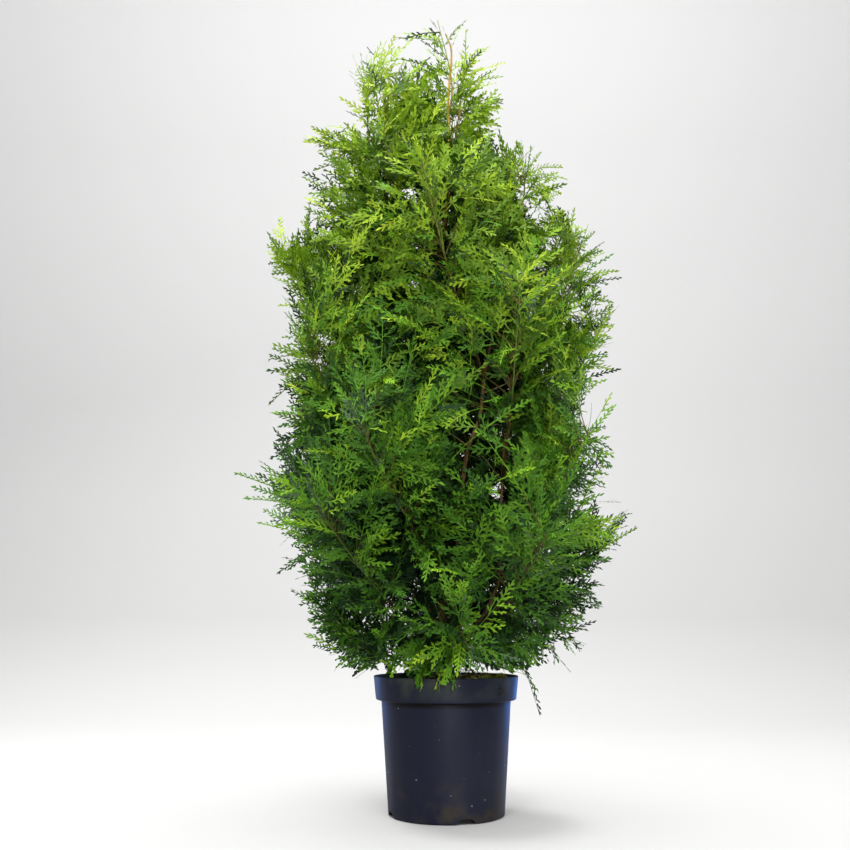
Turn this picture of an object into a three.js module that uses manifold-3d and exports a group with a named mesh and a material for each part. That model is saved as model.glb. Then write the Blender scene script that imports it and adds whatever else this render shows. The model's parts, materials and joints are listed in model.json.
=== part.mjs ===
// A young thuja with several stems, growing in a round black nursery container of about five litres.
// Millimetres, +Z up. The origin is the centre of the container's flat underside, +X is the plant's right
// and -Y its front. Azimuths are counted from +X, anticlockwise seen from above.
import * as THREE from "three";
import { mergeVertices } from "three/addons/utils/BufferGeometryUtils.js";
import Module from "manifold-3d";

const wasm = await Module();
wasm.setup();

// ---------------------------------------------------------------- driving dimensions
const GAP = 0.3; // clearance between neighbouring solids

const POT = {
  height: 190,
  rimRadius: 105,
  bandHeight: 33,
  bandFootRadius: 101.5,
  bodyTopRadius: 93.5,
  baseRadius: 82.5,
  edgeRound: 3,
  wall: 2.2,
  floor: 2.6,
  sides: 32,
};
const DRAIN = { count: 4, first: 289, height: 7.5, depth: 15, footWidth: 34, topWidth: 14, holeRadius: 3.2 };
const SOIL = { edgeHeight: 176, crownHeight: 182, crownRadius: 34 };

// Stems: where the centre line passes, as [x, y, z], from the foot up, and the radius at foot and tip.
const STEMS = {
  trunk: {
    footRadius: 8,
    tipRadius: 0.9,
    flare: 5,
    sides: 8,
    rings: 18,
    line: [
      [-2, 0, 182.3], [-4, 0, 260], [-10, 2, 357], [-22, 4, 602], [-27, 2, 760], [-6, 0, 838],
      [3, -2, 909], [9, 0, 1024], [8, 2, 1114], [14, 0, 1200], [4, -2, 1236],
    ],
  },
  stem_right: {
    footRadius: 5.6,
    tipRadius: 1.6,
    sides: 6,
    rings: 10,
    line: [
      [-3, -2, 222], [9, -16, 262], [12, -34, 330], [20, -46, 416], [32, -52, 508], [52, -54, 565],
      [60, -54, 630], [72, -50, 690], [84, -42, 790], [88, -36, 870],
    ],
  },
  stem_low_right: {
    footRadius: 4.6,
    tipRadius: 1.5,
    sides: 6,
    rings: 8,
    line: [
      [-2, -2, 206], [30, -18, 246], [62, -32, 288], [80, -42, 345], [82, -44, 440], [92, -40, 560],
      [108, -32, 680],
    ],
  },
  stem_left: {
    footRadius: 6,
    tipRadius: 1.4,
    sides: 6,
    rings: 10,
    line: [
      [-4, 1, 232], [-24, 10, 290], [-46, 18, 380], [-64, 24, 520], [-74, 22, 660], [-82, 14, 820],
      [-88, 8, 990],
    ],
  },
};

// The crown's outline: height, distance from its own axis, and how far that axis stands right of the origin.
const OUTLINE = [
  [150, 168, -8], [200, 200, -10], [262, 226, -6], [330, 252, 0], [420, 274, 0], [527, 298, -40],
  [640, 284, -12], [760, 272, -4], [880, 272, -16], [960, 232, -18], [1060, 178, -20], [1150, 135, -24],
  [1215, 104, -20], [1260, 46, -12],
];
const TIP_HEIGHT = 1268;

// Tiers of side branches. leave and tip are the heights where a bough leaves its stem and where it ends,
// reach is how far its tip stands from the crown's axis as a share of the outline, start and end are its
// climb in degrees at both ends, bare is the share of it that carries no foliage, and first is the azimuth
// of the tier's first branch. A tier without bare has its foliage straight on the stem.
const TIERS = [
  { name: "skirt", count: 4, first: 196, leave: 205, tip: 212, reach: 0.9, start: 30, end: -38, bare: 0.3 },
  { name: "low", count: 5, first: 160, leave: 242, tip: 400, reach: 0.98, start: 22, end: 44, bare: 0.34 },
  { name: "waist", count: 5, first: 186, leave: 330, tip: 548, reach: 1.0, start: 30, end: 52, bare: 0.34 },
  { name: "shoulder", count: 5, first: 150, leave: 470, tip: 722, reach: 0.98, start: 34, end: 58, bare: 0.34 },
  { name: "upper", count: 4, first: 178, leave: 640, tip: 900, reach: 0.98, start: 36, end: 60, bare: 0.32 },
  { name: "high", count: 4, first: 158, leave: 812, tip: 1052, reach: 1.0, start: 40, end: 66 },
  { name: "top", count: 3, first: 185, leave: 985, tip: 1200, reach: 1.0, start: 48, end: 72 },
];
const TIER_CLIMB = 64; // the boughs of one tier leave their stems one above another over this height

// The leader's shoot: near and far bend it, counted from its foot and from its tip.
const LEADER = {
  name: "leader",
  leave: 1090,
  sprays: 6,
  near: [20, -14, 50],
  far: [6, -14, -60],
  tip: [-10, -4, TIP_HEIGHT],
};

const BOUGH = { footRadius: 3.6, tipRadius: 2.1, sides: 5, rings: 4 };
const TWIG = { footRadius: 3, tipRadius: 1.3, sides: 3, rings: 4 };

// A spray: a flat fern-like blade of lobes on both sides of a rib.
const SPRAY = {
  perBranch: 8,
  length: 190,
  shortest: 55,
  ribHalfWidth: 2.6,
  halfThickness: 1.1,
  lobePairs: 3,
  lobeAngle: 42,
  lobeShare: 0.5,
  ribEnd: 0.74,
  rootShare: 0.3,
  stalk: 0.12,
  droop: 0.09,
  clearance: 0.7,
  trials: 10,
  shrink: 0.88,
  rootVolume: 12,
  crossingWorth: 0.6,
};
const SEED = 20417;

// ---------------------------------------------------------------- colours
const PLASTIC = new THREE.MeshStandardMaterial({ color: 0x24252b, roughness: 0.55, metalness: 0 });
const COMPOST = new THREE.MeshStandardMaterial({ color: 0x2c2118, roughness: 1, metalness: 0 });
const BARK = new THREE.MeshStandardMaterial({ color: 0x6d4a33, roughness: 0.9, metalness: 0 });
const GREENS = [0x4f8a1c, 0x447d1a, 0x3a7018, 0x5b981f].map(
  (color) => new THREE.MeshStandardMaterial({ color, roughness: 0.65, metalness: 0 }),
);

// ---------------------------------------------------------------- small tools
const radians = THREE.MathUtils.degToRad;
const lerp = THREE.MathUtils.lerp;
const vector = (x, y, z) => new THREE.Vector3(x, y, z);

// Even random numbers that come out the same on every run.
function dice(seed) {
  let state = seed >>> 0;
  const next = () => {
    state = (Math.imul(state, 1664525) + 1013904223) >>> 0;
    return state / 4294967296;
  };
  return (low, high) => lerp(low, high, next());
}

// A closed mesh as a solid that can be joined and cut.
function solidOf(geometry) {
  const bare = new THREE.BufferGeometry();
  bare.setAttribute("position", geometry.getAttribute("position"));
  bare.setIndex(geometry.index);
  const merged = mergeVertices(bare, 1e-4);
  return new wasm.Manifold(
    new wasm.Mesh({
      numProp: 3,
      vertProperties: Float32Array.from(merged.attributes.position.array),
      triVerts: Uint32Array.from(merged.index.array),
    }),
  );
}

// A solid as a mesh geometry again.
function geometryOf(solid) {
  const mesh = solid.getMesh();
  const geometry = new THREE.BufferGeometry();
  geometry.setAttribute("position", new THREE.BufferAttribute(Float32Array.from(mesh.vertProperties), 3));
  geometry.setIndex(new THREE.BufferAttribute(Uint32Array.from(mesh.triVerts), 1));
  const flat = geometry.toNonIndexed();
  flat.computeVertexNormals();
  return flat;
}

// A closed geometry from its corners and the faces between them; faces have three or four corners.
function closedGeometry(corners, faces) {
  const geometry = new THREE.BufferGeometry();
  const numbers = corners.flatMap((corner) => [corner.x, corner.y, corner.z]);
  geometry.setAttribute("position", new THREE.Float32BufferAttribute(numbers, 3));
  geometry.setIndex(faces.flatMap(([a, b, c, d]) => (d === undefined ? [a, b, c] : [a, b, c, a, c, d])));
  return geometry;
}

// A tapering limb along a curve, from the share `from` of it to the share `to`; a level foot is cut flat.
function limb(curve, { sides, rings, radiusAt, from = 0, to = 1, levelFoot = false }) {
  const corners = [];
  const faces = [];
  const chord = curve.getPoint(to).sub(curve.getPoint(from));
  const leaning = Math.hypot(chord.x, chord.y) > 0.3 * chord.length();
  const level = leaning ? vector(-chord.y, chord.x, 0) : vector(0, 1, 0);
  for (let ring = 0; ring < rings; ring++) {
    const share = lerp(from, to, ring / (rings - 1));
    const centre = curve.getPoint(share);
    const along = curve.getTangent(share);
    const across = level.clone().addScaledVector(along, -level.dot(along)).normalize();
    const up = along.clone().cross(across);
    const radius = radiusAt(share);
    for (let side = 0; side < sides; side++) {
      const turn = (2 * Math.PI * side) / sides;
      const corner = centre.clone().addScaledVector(across, Math.cos(turn) * radius);
      corner.addScaledVector(up, Math.sin(turn) * radius);
      if (levelFoot && ring === 0) corner.z = centre.z;
      corners.push(corner);
    }
  }
  for (let ring = 0; ring < rings - 1; ring++) {
    for (let side = 0; side < sides; side++) {
      const a = ring * sides + side;
      const b = ring * sides + ((side + 1) % sides);
      faces.push([a, b, b + sides, a + sides]);
    }
  }
  const last = (rings - 1) * sides;
  for (let side = 1; side < sides - 1; side++) {
    faces.push([0, side + 1, side]);
    faces.push([last, last + side, last + side + 1]);
  }
  return closedGeometry(corners, faces);
}

// ---------------------------------------------------------------- container and compost
// The container's surface as a closed profile: its outside, or a surface `inset` inside that, from `bottom`
// up to `top`.
function potProfile(inset, bottom, top) {
  const { height, rimRadius, bandHeight, bandFootRadius, bodyTopRadius, baseRadius, edgeRound } = POT;
  const bandFoot = height - bandHeight;
  const rim = lerp(bandFootRadius, rimRadius, (top - bandFoot) / bandHeight);
  const wall = [
    [0, bottom],
    [baseRadius - edgeRound - inset / 2, bottom],
    [baseRadius - inset, bottom + edgeRound],
    [bodyTopRadius - inset, bandFoot + inset],
    [bandFootRadius - inset, bandFoot + inset + 1],
    [rim - inset, top],
    [0, top],
  ];
  return wall.map(([radius, z]) => new THREE.Vector2(radius, z));
}

// A profile turned about the upright axis.
function turned(profile, sides) {
  return solidOf(new THREE.LatheGeometry(profile, sides).rotateX(Math.PI / 2));
}

// The recess at one drain: a trapezoid across the container's lower edge, grown by `grow` on all sides.
function drainRecess(azimuth, grow) {
  const { height, depth, footWidth, topWidth } = DRAIN;
  const outline = new THREE.Shape([
    new THREE.Vector2(-footWidth / 2 - grow, -5),
    new THREE.Vector2(footWidth / 2 + grow, -5),
    new THREE.Vector2(footWidth / 2 + grow, 0),
    new THREE.Vector2(topWidth / 2 + grow, height + grow),
    new THREE.Vector2(-topWidth / 2 - grow, height + grow),
    new THREE.Vector2(-footWidth / 2 - grow, 0),
  ]);
  const block = new THREE.ExtrudeGeometry(outline, { depth: depth + grow + 12, bevelEnabled: false });
  block.rotateX(Math.PI / 2); // outline upright, block running towards -Y
  block.translate(0, POT.baseRadius + 12, 0);
  block.rotateZ(radians(azimuth - 90));
  return solidOf(block);
}

function drainHole(azimuth) {
  const hole = new THREE.CylinderGeometry(DRAIN.holeRadius, DRAIN.holeRadius, 20, 10);
  hole.rotateX(Math.PI / 2);
  hole.translate(POT.baseRadius - DRAIN.depth / 2 - 1, 0, DRAIN.height);
  hole.rotateZ(radians(azimuth));
  return solidOf(hole);
}

const drainAzimuths = Array.from({ length: DRAIN.count }, (_, i) => DRAIN.first + (i * 360) / DRAIN.count);

function cutDrains(solid, grow) {
  return drainAzimuths.reduce((left, azimuth) => left.subtract(drainRecess(azimuth, grow)), solid);
}

function container() {
  const outside = cutDrains(turned(potProfile(0, 0, POT.height), POT.sides), 0);
  const inside = cutDrains(turned(potProfile(POT.wall, POT.floor, POT.height + 1), POT.sides), POT.wall);
  return drainAzimuths.reduce((left, azimuth) => left.subtract(drainHole(azimuth)), outside.subtract(inside));
}

// The compost fills the container up to its crown and steps in round the drains.
function compost() {
  const inset = POT.wall + GAP;
  const { edgeHeight, crownHeight, crownRadius } = SOIL;
  const stepHeight = DRAIN.height + inset + GAP;
  const stepRadius = POT.baseRadius - DRAIN.depth - inset - GAP;
  const [, , foot, waist, shelf] = potProfile(inset, POT.floor + GAP, edgeHeight);
  const wallRadius = lerp(foot.x, waist.x, (stepHeight - foot.y) / (waist.y - foot.y));
  const profile = [
    [0, foot.y - POT.edgeRound],
    [stepRadius, foot.y - POT.edgeRound],
    [stepRadius, stepHeight],
    [wallRadius, stepHeight],
    [waist.x, waist.y],
    [shelf.x, shelf.y],
    [shelf.x, edgeHeight],
    [crownRadius, crownHeight],
    [0, crownHeight],
  ];
  return turned(profile.map(([radius, z]) => new THREE.Vector2(radius, z)), POT.sides);
}

// ---------------------------------------------------------------- stems
const stemCurves = {};
for (const [name, stem] of Object.entries(STEMS)) {
  stemCurves[name] = new THREE.CatmullRomCurve3(stem.line.map((p) => vector(...p)), false, "catmullrom", 0.5);
}

function stemRadius(name, share) {
  const { footRadius, tipRadius, flare = 0 } = STEMS[name];
  return lerp(footRadius, tipRadius, share ** 0.8) + flare * Math.exp(-share * 60);
}

// A stem's solid, `grow` thicker all round.
function stemSolid(name, grow = 0) {
  const { sides, rings } = STEMS[name];
  const tight = 1 / Math.cos(Math.PI / sides);
  const radiusAt = (share) => stemRadius(name, share) + grow * tight;
  return solidOf(limb(stemCurves[name], { sides, rings, radiusAt, levelFoot: name === "trunk" }));
}

// The share of a stem's length at which it passes a height.
function shareAtHeight(name, height) {
  let low = 0;
  let high = 1;
  for (let i = 0; i < 30; i++) {
    const middle = (low + high) / 2;
    if (stemCurves[name].getPoint(middle).z < height) low = middle;
    else high = middle;
  }
  return low;
}

// ---------------------------------------------------------------- the crown's outline
function outlineAt(height) {
  const rows = OUTLINE;
  const z = Math.min(Math.max(height, rows[0][0]), rows[rows.length - 1][0]);
  const i = Math.max(1, rows.findIndex((row) => row[0] >= z));
  const share = (z - rows[i - 1][0]) / (rows[i][0] - rows[i - 1][0]);
  const [low, high] = [rows[i - 1], rows[i]];
  return { radius: lerp(low[1], high[1], share), axis: lerp(low[2], high[2], share) };
}

function insideOutline(point, allowance) {
  const { radius, axis } = outlineAt(point.z);
  return point.z < TIP_HEIGHT && Math.hypot(point.x - axis, point.y) < radius * allowance;
}

// ---------------------------------------------------------------- side branches
// The stem that stands furthest out towards an azimuth at a height.
function hostStem(azimuth, height) {
  let best = "trunk";
  let furthest = -Infinity;
  for (const name of Object.keys(STEMS)) {
    const curve = stemCurves[name];
    if (height < curve.getPoint(0).z + 25 || height > curve.getPoint(1).z - 20) continue;
    const point = curve.getPoint(shareAtHeight(name, height));
    const out = point.x * Math.cos(azimuth) + point.y * Math.sin(azimuth);
    if (out > furthest) {
      furthest = out;
      best = name;
    }
  }
  return best;
}

// One side branch: its line from the stem to its tip, as a cubic curve.
function planBranch(tier, index, roll) {
  const azimuth = radians(tier.first + (index * 360) / tier.count + roll(-7, 7));
  const leave = tier.leave + TIER_CLIMB * (index / (tier.count - 1) - 0.5) + roll(-4, 4);
  const tipHeight = tier.tip + roll(-30, 30);
  const host = hostStem(azimuth, leave);
  const foot = stemCurves[host].getPoint(shareAtHeight(host, leave));
  const { radius, axis } = outlineAt(tipHeight);
  const reach = radius * tier.reach * roll(0.95, 1.04);
  const tip = vector(axis + Math.cos(azimuth) * reach, Math.sin(azimuth) * reach, tipHeight);
  const out = vector(tip.x - foot.x, tip.y - foot.y, 0).normalize();
  const span = foot.distanceTo(tip);
  const start = radians(tier.start);
  const end = radians(tier.end);
  const near = foot.clone().addScaledVector(out, Math.cos(start) * span * 0.36);
  near.z += Math.sin(start) * span * 0.36;
  const far = tip.clone().addScaledVector(out, -Math.cos(end) * span * 0.3);
  far.z -= Math.sin(end) * span * 0.3;
  return {
    name: `${tier.name}_${index + 1}`,
    sprays: SPRAY.perBranch,
    curve: new THREE.CubicBezierCurve3(foot, near, far, tip),
    around: vector(-Math.sin(azimuth), Math.cos(azimuth), 0),
    roll,
    from: tier.bare ?? 0,
    allowance: 1.02 + roll(-0.03, 0.05),
  };
}

function planCrown() {
  const branches = [];
  for (const [level, tier] of TIERS.entries()) {
    for (let index = 0; index < tier.count; index++) {
      branches.push(planBranch(tier, index, dice(SEED + 101 * level + 7919 * index)));
    }
  }
  return branches;
}

// The leader's foliage grows on a shoot beside the trunk's top.
function planLeader() {
  const roll = dice(SEED);
  const foot = stemCurves.trunk.getPoint(shareAtHeight("trunk", LEADER.leave));
  const tip = vector(...LEADER.tip);
  const near = foot.clone().add(vector(...LEADER.near));
  const far = tip.clone().add(vector(...LEADER.far));
  return {
    name: LEADER.name,
    sprays: LEADER.sprays,
    curve: new THREE.CubicBezierCurve3(foot, near, far, tip),
    around: vector(1, 0, 0),
    roll,
    from: 0,
    allowance: 1.1,
  };
}

// ---------------------------------------------------------------- sprays
// A flat toothed blade that starts at the origin, runs along +X and lies in the XY plane. Its rib is
// three-sided, with the ridge on top, and each lobe is a thin wedge between two stations of the rib.
function bladeGeometry(length, curl, grow = 0) {
  const { ribHalfWidth, halfThickness, lobePairs, lobeAngle, lobeShare, ribEnd, rootShare, stalk } = SPRAY;
  const stations = [0];
  for (let i = 0; i <= lobePairs; i++) stations.push(length * lerp(stalk, ribEnd, i / lobePairs));
  const corners = [];
  const faces = [];
  const bend = (x, y, z) => corners.push(vector(x, y, z - (curl * x * x) / length)) - 1;
  const rib = stations.map((x, i) => {
    const thin = i === 0 ? rootShare : 1 - (0.5 * x) / length;
    const width = ribHalfWidth * thin + grow;
    const thick = halfThickness * thin + grow;
    return { top: bend(x, 0, thick), left: bend(x, width, -thick), right: bend(x, -width, -thick) };
  });
  faces.push([rib[0].top, rib[0].left, rib[0].right]);
  for (let i = 0; i < rib.length - 1; i++) {
    const [near, far] = [rib[i], rib[i + 1]];
    faces.push([near.left, far.left, far.right, near.right]);
    if (i === 0) {
      faces.push([near.top, far.top, far.left, near.left], [near.top, near.right, far.right, far.top]);
      continue;
    }
    const lobe = length * lobeShare * (1 - 0.62 * ((i - 1) / lobePairs)) + grow;
    const turn = radians(lobeAngle);
    const reach = stations[i] + Math.cos(turn) * lobe;
    const left = bend(reach, Math.sin(turn) * lobe, -lobe * 0.06);
    const right = bend(reach, -Math.sin(turn) * lobe, -lobe * 0.06);
    faces.push([near.top, left, near.left], [near.top, far.top, left], [far.top, far.left, left]);
    faces.push([near.left, left, far.left]);
    faces.push([near.top, near.right, right], [near.top, right, far.top], [far.top, right, far.right]);
    faces.push([near.right, far.right, right]);
  }
  const end = rib[rib.length - 1];
  const tip = bend(length + grow, 0, 0);
  faces.push([end.top, tip, end.left], [end.top, end.right, tip], [end.left, tip, end.right]);
  return closedGeometry(corners, faces);
}

// Where spray number `k` of a branch stands and points. They alternate from side to side, and the last one
// ends the branch.
function sprayPlace(branch, k) {
  const { curve, from, sprays, around, roll } = branch;
  const last = k === sprays - 1;
  const share = last ? 0.86 : lerp(lerp(from, 1, 0.05), 0.9, k / (sprays - 1));
  const foot = curve.getPoint(share);
  const along = curve.getTangent(share);
  const beside = around.clone().addScaledVector(along, -around.dot(along)).normalize();
  const outward = beside.clone().cross(along).normalize();
  const spin = (k % 2 ? Math.PI : 0) + radians(roll(-80, 80));
  const sideways = beside.clone().multiplyScalar(Math.cos(spin)).addScaledVector(outward, Math.sin(spin));
  const lean = last ? 0 : radians(lerp(64, 36, k / sprays) + roll(-10, 10));
  const towards = along.clone().multiplyScalar(Math.cos(lean)).addScaledVector(sideways, Math.sin(lean));
  const plane = last ? outward : sideways.clone().cross(along);
  const normal = towards.clone().cross(plane.applyAxisAngle(towards, radians(roll(-35, 35)))).normalize();
  const place = new THREE.Matrix4().makeBasis(towards, normal.clone().cross(towards), normal);
  const usual = SPRAY.length * lerp(1.05, 0.66, share) * roll(0.88, 1.12);
  const wanted = last ? foot.distanceTo(curve.getPoint(1)) : usual;
  return { place: place.setPosition(foot), wanted, curl: SPRAY.droop * roll(0.4, 1.6) };
}

// The branch whose leafy line passes nearest to a point.
function nearestBranch(point, branches) {
  let nearest = null;
  let least = Infinity;
  for (const branch of branches) {
    for (const mark of branch.marks) {
      const distance = mark.distanceToSquared(point);
      if (distance < least) {
        least = distance;
        nearest = branch;
      }
    }
  }
  return nearest;
}

function keepsToItsSpace(geometry, branch, branches) {
  const position = geometry.getAttribute("position");
  const point = new THREE.Vector3();
  for (let i = 0; i < position.count; i++) {
    point.fromBufferAttribute(position, i);
    if (!insideOutline(point, branch.allowance)) return false;
    if (nearestBranch(point, branches) !== branch) return false;
  }
  return true;
}

// The bare inner part of a side branch, `grow` thicker all round.
function boughSolid(branch, grow = 0) {
  const { footRadius, tipRadius, sides, rings } = BOUGH;
  const radiusAt = (share) => lerp(footRadius, tipRadius, share / branch.from) + grow;
  return solidOf(limb(branch.curve, { sides, rings, radiusAt, to: branch.from }));
}

// The twig that carries a mass, `grow` thicker all round.
function twigSolid(branch, grow = 0) {
  const { footRadius, tipRadius, sides, rings } = TWIG;
  const from = branch.from ? branch.from + GAP / branch.curve.getLength() : 0.004;
  const radiusAt = (share) => lerp(footRadius, tipRadius, (share - from) / (1 - from)) + grow;
  return solidOf(limb(branch.curve, { sides, rings, radiusAt, from, to: 0.88 }));
}

// The longest form of a spray that fits at a place, or nothing where none does. A spray keeps to its mass's
// own space and touches no limb and no other mass.
function fittedSpray({ place, wanted, curl }, branch, branches, others) {
  for (let length = wanted; length > SPRAY.shortest; length *= SPRAY.shrink) {
    const spray = bladeGeometry(length, curl).applyMatrix4(place);
    if (!keepsToItsSpace(spray, branch, branches)) continue;
    const wide = solidOf(bladeGeometry(length, curl, SPRAY.clearance).applyMatrix4(place));
    const free = others.every((solid) => solid.intersect(wide).isEmpty());
    if (free) return { length, solid: solidOf(spray) };
  }
  return null;
}

// Spray `k` of a mass: the longest of a few trials, and rather one that crosses no earlier spray of its mass.
function bestSpray(branch, k, branches, others, mass) {
  let best = null;
  for (let trial = 0; trial < SPRAY.trials; trial++) {
    const fitted = fittedSpray(sprayPlace(branch, k), branch, branches, others);
    if (!fitted) continue;
    const crossing = mass.intersect(fitted.solid).volume() > SPRAY.rootVolume;
    fitted.worth = fitted.length * (crossing ? SPRAY.crossingWorth : 1);
    if (!best || fitted.worth > best.worth) best = fitted;
  }
  return best;
}

// A mass of foliage: its twig with the sprays sunk into it.
function foliage(branch, branches, others) {
  let mass = twigSolid(branch);
  for (let k = 0; k < branch.sprays; k++) {
    const spray = bestSpray(branch, k, branches, others, mass);
    if (spray) mass = mass.add(spray.solid);
  }
  return mass;
}

// A solid without what it shares with the limbs that stand already; loose scraps are dropped.
function clearOf(solid, limbs) {
  return solid.subtract(limbs).decompose().reduce((a, b) => (a.volume() > b.volume() ? a : b));
}

// ---------------------------------------------------------------- assembly
const plant = new THREE.Group();

function place(name, solid, material) {
  const mesh = new THREE.Mesh(geometryOf(solid), material);
  mesh.name = name;
  plant.add(mesh);
}

place("pot", container(), PLASTIC);
place("soil", compost(), COMPOST);

// What stands already, grown by the clearance that the next solids keep from it.
let standing = null;
function stand(solid) {
  standing = standing ? standing.add(solid) : solid;
}

for (const name of Object.keys(STEMS)) {
  place(name, standing ? clearOf(stemSolid(name), standing) : stemSolid(name), BARK);
  stand(stemSolid(name, GAP));
}

const branches = [...planCrown(), planLeader()];
for (const branch of branches) {
  branch.marks = [];
  for (let i = 0; i <= 8; i++) branch.marks.push(branch.curve.getPoint(lerp(branch.from, 1, i / 8)));
  if (branch.from) {
    place(`bough_${branch.name}`, clearOf(boughSolid(branch), standing), BARK);
    stand(boughSolid(branch, GAP));
  }
}
stand(turned(potProfile(-POT.wall, -POT.wall, POT.height + POT.wall), POT.sides));

const twigs = branches.map((branch) => twigSolid(branch, GAP));
const masses = [];
for (const [index, branch] of branches.entries()) {
  const others = [standing, ...twigs.filter((_, other) => other !== index), ...masses];
  const mass = clearOf(foliage(branch, branches, others), standing);
  place(`foliage_${branch.name}`, mass, GREENS[index % GREENS.length]);
  masses.push(mass);
}

export default plant;
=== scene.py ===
import json
import math
from types import SimpleNamespace

import bmesh
import bpy
import numpy as np
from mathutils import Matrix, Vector, noise

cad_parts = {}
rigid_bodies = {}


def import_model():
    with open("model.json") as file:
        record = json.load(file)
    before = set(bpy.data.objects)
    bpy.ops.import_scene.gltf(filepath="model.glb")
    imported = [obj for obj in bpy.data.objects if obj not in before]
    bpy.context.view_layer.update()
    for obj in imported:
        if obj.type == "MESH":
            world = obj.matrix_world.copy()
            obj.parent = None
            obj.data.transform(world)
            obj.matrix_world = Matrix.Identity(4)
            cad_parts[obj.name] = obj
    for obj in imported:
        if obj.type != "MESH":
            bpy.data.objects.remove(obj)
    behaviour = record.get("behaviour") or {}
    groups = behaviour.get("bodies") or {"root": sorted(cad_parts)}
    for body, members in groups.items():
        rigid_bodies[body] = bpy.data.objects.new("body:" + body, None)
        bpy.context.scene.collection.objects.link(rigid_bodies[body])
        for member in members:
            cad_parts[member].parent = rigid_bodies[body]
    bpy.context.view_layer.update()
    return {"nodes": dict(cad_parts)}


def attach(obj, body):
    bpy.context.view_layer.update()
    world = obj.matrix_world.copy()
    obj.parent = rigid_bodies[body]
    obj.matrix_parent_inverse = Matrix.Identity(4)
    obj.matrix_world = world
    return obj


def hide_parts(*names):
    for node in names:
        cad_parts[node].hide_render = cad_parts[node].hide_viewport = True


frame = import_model()
MM = 0.001
UP = np.array([0.0, 0.0, 1.0])
TURN = 2 * math.pi

# ---- driving sizes, as in the part's source
POT = SimpleNamespace(
    height=190, rim=105, band=33, band_foot=101.5, body_top=93.5, base=82.5, round=3, wall=2.2, floor=2.6
)
DRAIN = SimpleNamespace(count=4, first=289, height=7.5, depth=15, foot=34, top=14)
SOIL = SimpleNamespace(edge=176, crown=182, crown_radius=34, edge_radius=99)

STEMS = {
    "trunk": SimpleNamespace(
        foot=8, tip=0.9, flare=5,
        line=[
            (-2, 0, 182.3), (-4, 0, 260), (-10, 2, 357), (-22, 4, 602), (-27, 2, 760), (-6, 0, 838),
            (3, -2, 909), (9, 0, 1024), (8, 2, 1114), (14, 0, 1200), (4, -2, 1236),
        ],
    ),
    "stem_right": SimpleNamespace(
        foot=5.6, tip=1.6, flare=0,
        line=[
            (-3, -2, 222), (9, -16, 262), (12, -34, 330), (20, -46, 416), (32, -52, 508), (52, -54, 565),
            (60, -54, 630), (72, -50, 690), (84, -42, 790), (88, -36, 870),
        ],
    ),
    "stem_low_right": SimpleNamespace(
        foot=4.6, tip=1.5, flare=0,
        line=[
            (-2, -2, 206), (30, -18, 246), (62, -32, 288), (80, -42, 345), (82, -44, 440), (92, -40, 560),
            (108, -32, 680),
        ],
    ),
    "stem_left": SimpleNamespace(
        foot=6, tip=1.4, flare=0,
        line=[
            (-4, 1, 232), (-24, 10, 290), (-46, 18, 380), (-64, 24, 520), (-74, 22, 660), (-82, 14, 820),
            (-88, 8, 990),
        ],
    ),
}

# Height, distance from the crown's own axis, and how far that axis stands right of the origin.
OUTLINE = np.array([
    (150, 168, -8), (200, 200, -10), (262, 226, -6), (330, 252, 0), (420, 274, 0), (527, 298, -40),
    (640, 284, -12), (760, 272, -4), (880, 272, -16), (960, 232, -18), (1060, 178, -20), (1150, 135, -24),
    (1215, 104, -20), (1260, 46, -12),
], float)
TIP_HEIGHT = 1268

TIERS = {  # count, first azimuth, leave, tip, reach, start, end, bare, and shoots on each branch
    "skirt": (4, 196, 205, 212, 0.9, 30, -38, 0.3, 20),
    "low": (5, 160, 242, 400, 0.98, 22, 44, 0.34, 24),
    "waist": (5, 186, 330, 548, 1.0, 30, 52, 0.34, 25),
    "shoulder": (5, 150, 470, 722, 0.98, 34, 58, 0.34, 25),
    "upper": (4, 178, 640, 900, 0.98, 36, 60, 0.32, 25),
    "high": (4, 158, 812, 1052, 1.0, 40, 66, 0.0, 20),
    "top": (3, 185, 985, 1200, 1.0, 48, 72, 0.0, 11),
}
TIER_CLIMB = 64
LEADER = SimpleNamespace(leave=1090, shoots=7, near=(20, -14, 50), far=(6, -14, -60), tip=(-10, -4, 1268))
BOUGH_FOOT = 3.2
SEED = 20417

# ---- colours, linear
TONES = {
    "shade": (0.015, 0.044, 0.013),
    "deep": (0.034, 0.096, 0.016),
    "leaf": (0.070, 0.190, 0.018),
    "fresh": (0.128, 0.300, 0.020),
    "bright": (0.225, 0.435, 0.024),
    "lime": (0.360, 0.560, 0.032),
    # Lighter copies of the six tones above, for the crown's top: painted light from above.
    "shade_top": (0.024, 0.056, 0.013),
    "deep_top": (0.060, 0.124, 0.015),
    "leaf_top": (0.124, 0.234, 0.018),
    "fresh_top": (0.215, 0.366, 0.022),
    "bright_top": (0.320, 0.484, 0.028),
    "lime_top": (0.450, 0.600, 0.038),
    "grey_tip": (0.060, 0.105, 0.050),
}
TONE_NAMES = list(TONES)
SIDE_TONES = 6  # the tones of the crown's lower part, before the same six for its top


# ---- the plan of the limbs, by the source's rule
def lerp(a, b, t):
    return a + (b - a) * t


def unit(v):
    return v / np.maximum(np.linalg.norm(v, axis=-1, keepdims=True), 1e-9)


def heading(turn):
    """The level direction at a turn in radians."""
    return np.array([math.cos(turn), math.sin(turn), 0.0])


def dice(seed):
    state = [seed % 2**32]

    def roll(low, high):
        state[0] = (state[0] * 1664525 + 1013904223) % 2**32
        return lerp(low, high, state[0] / 2**32)

    return roll


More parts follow.
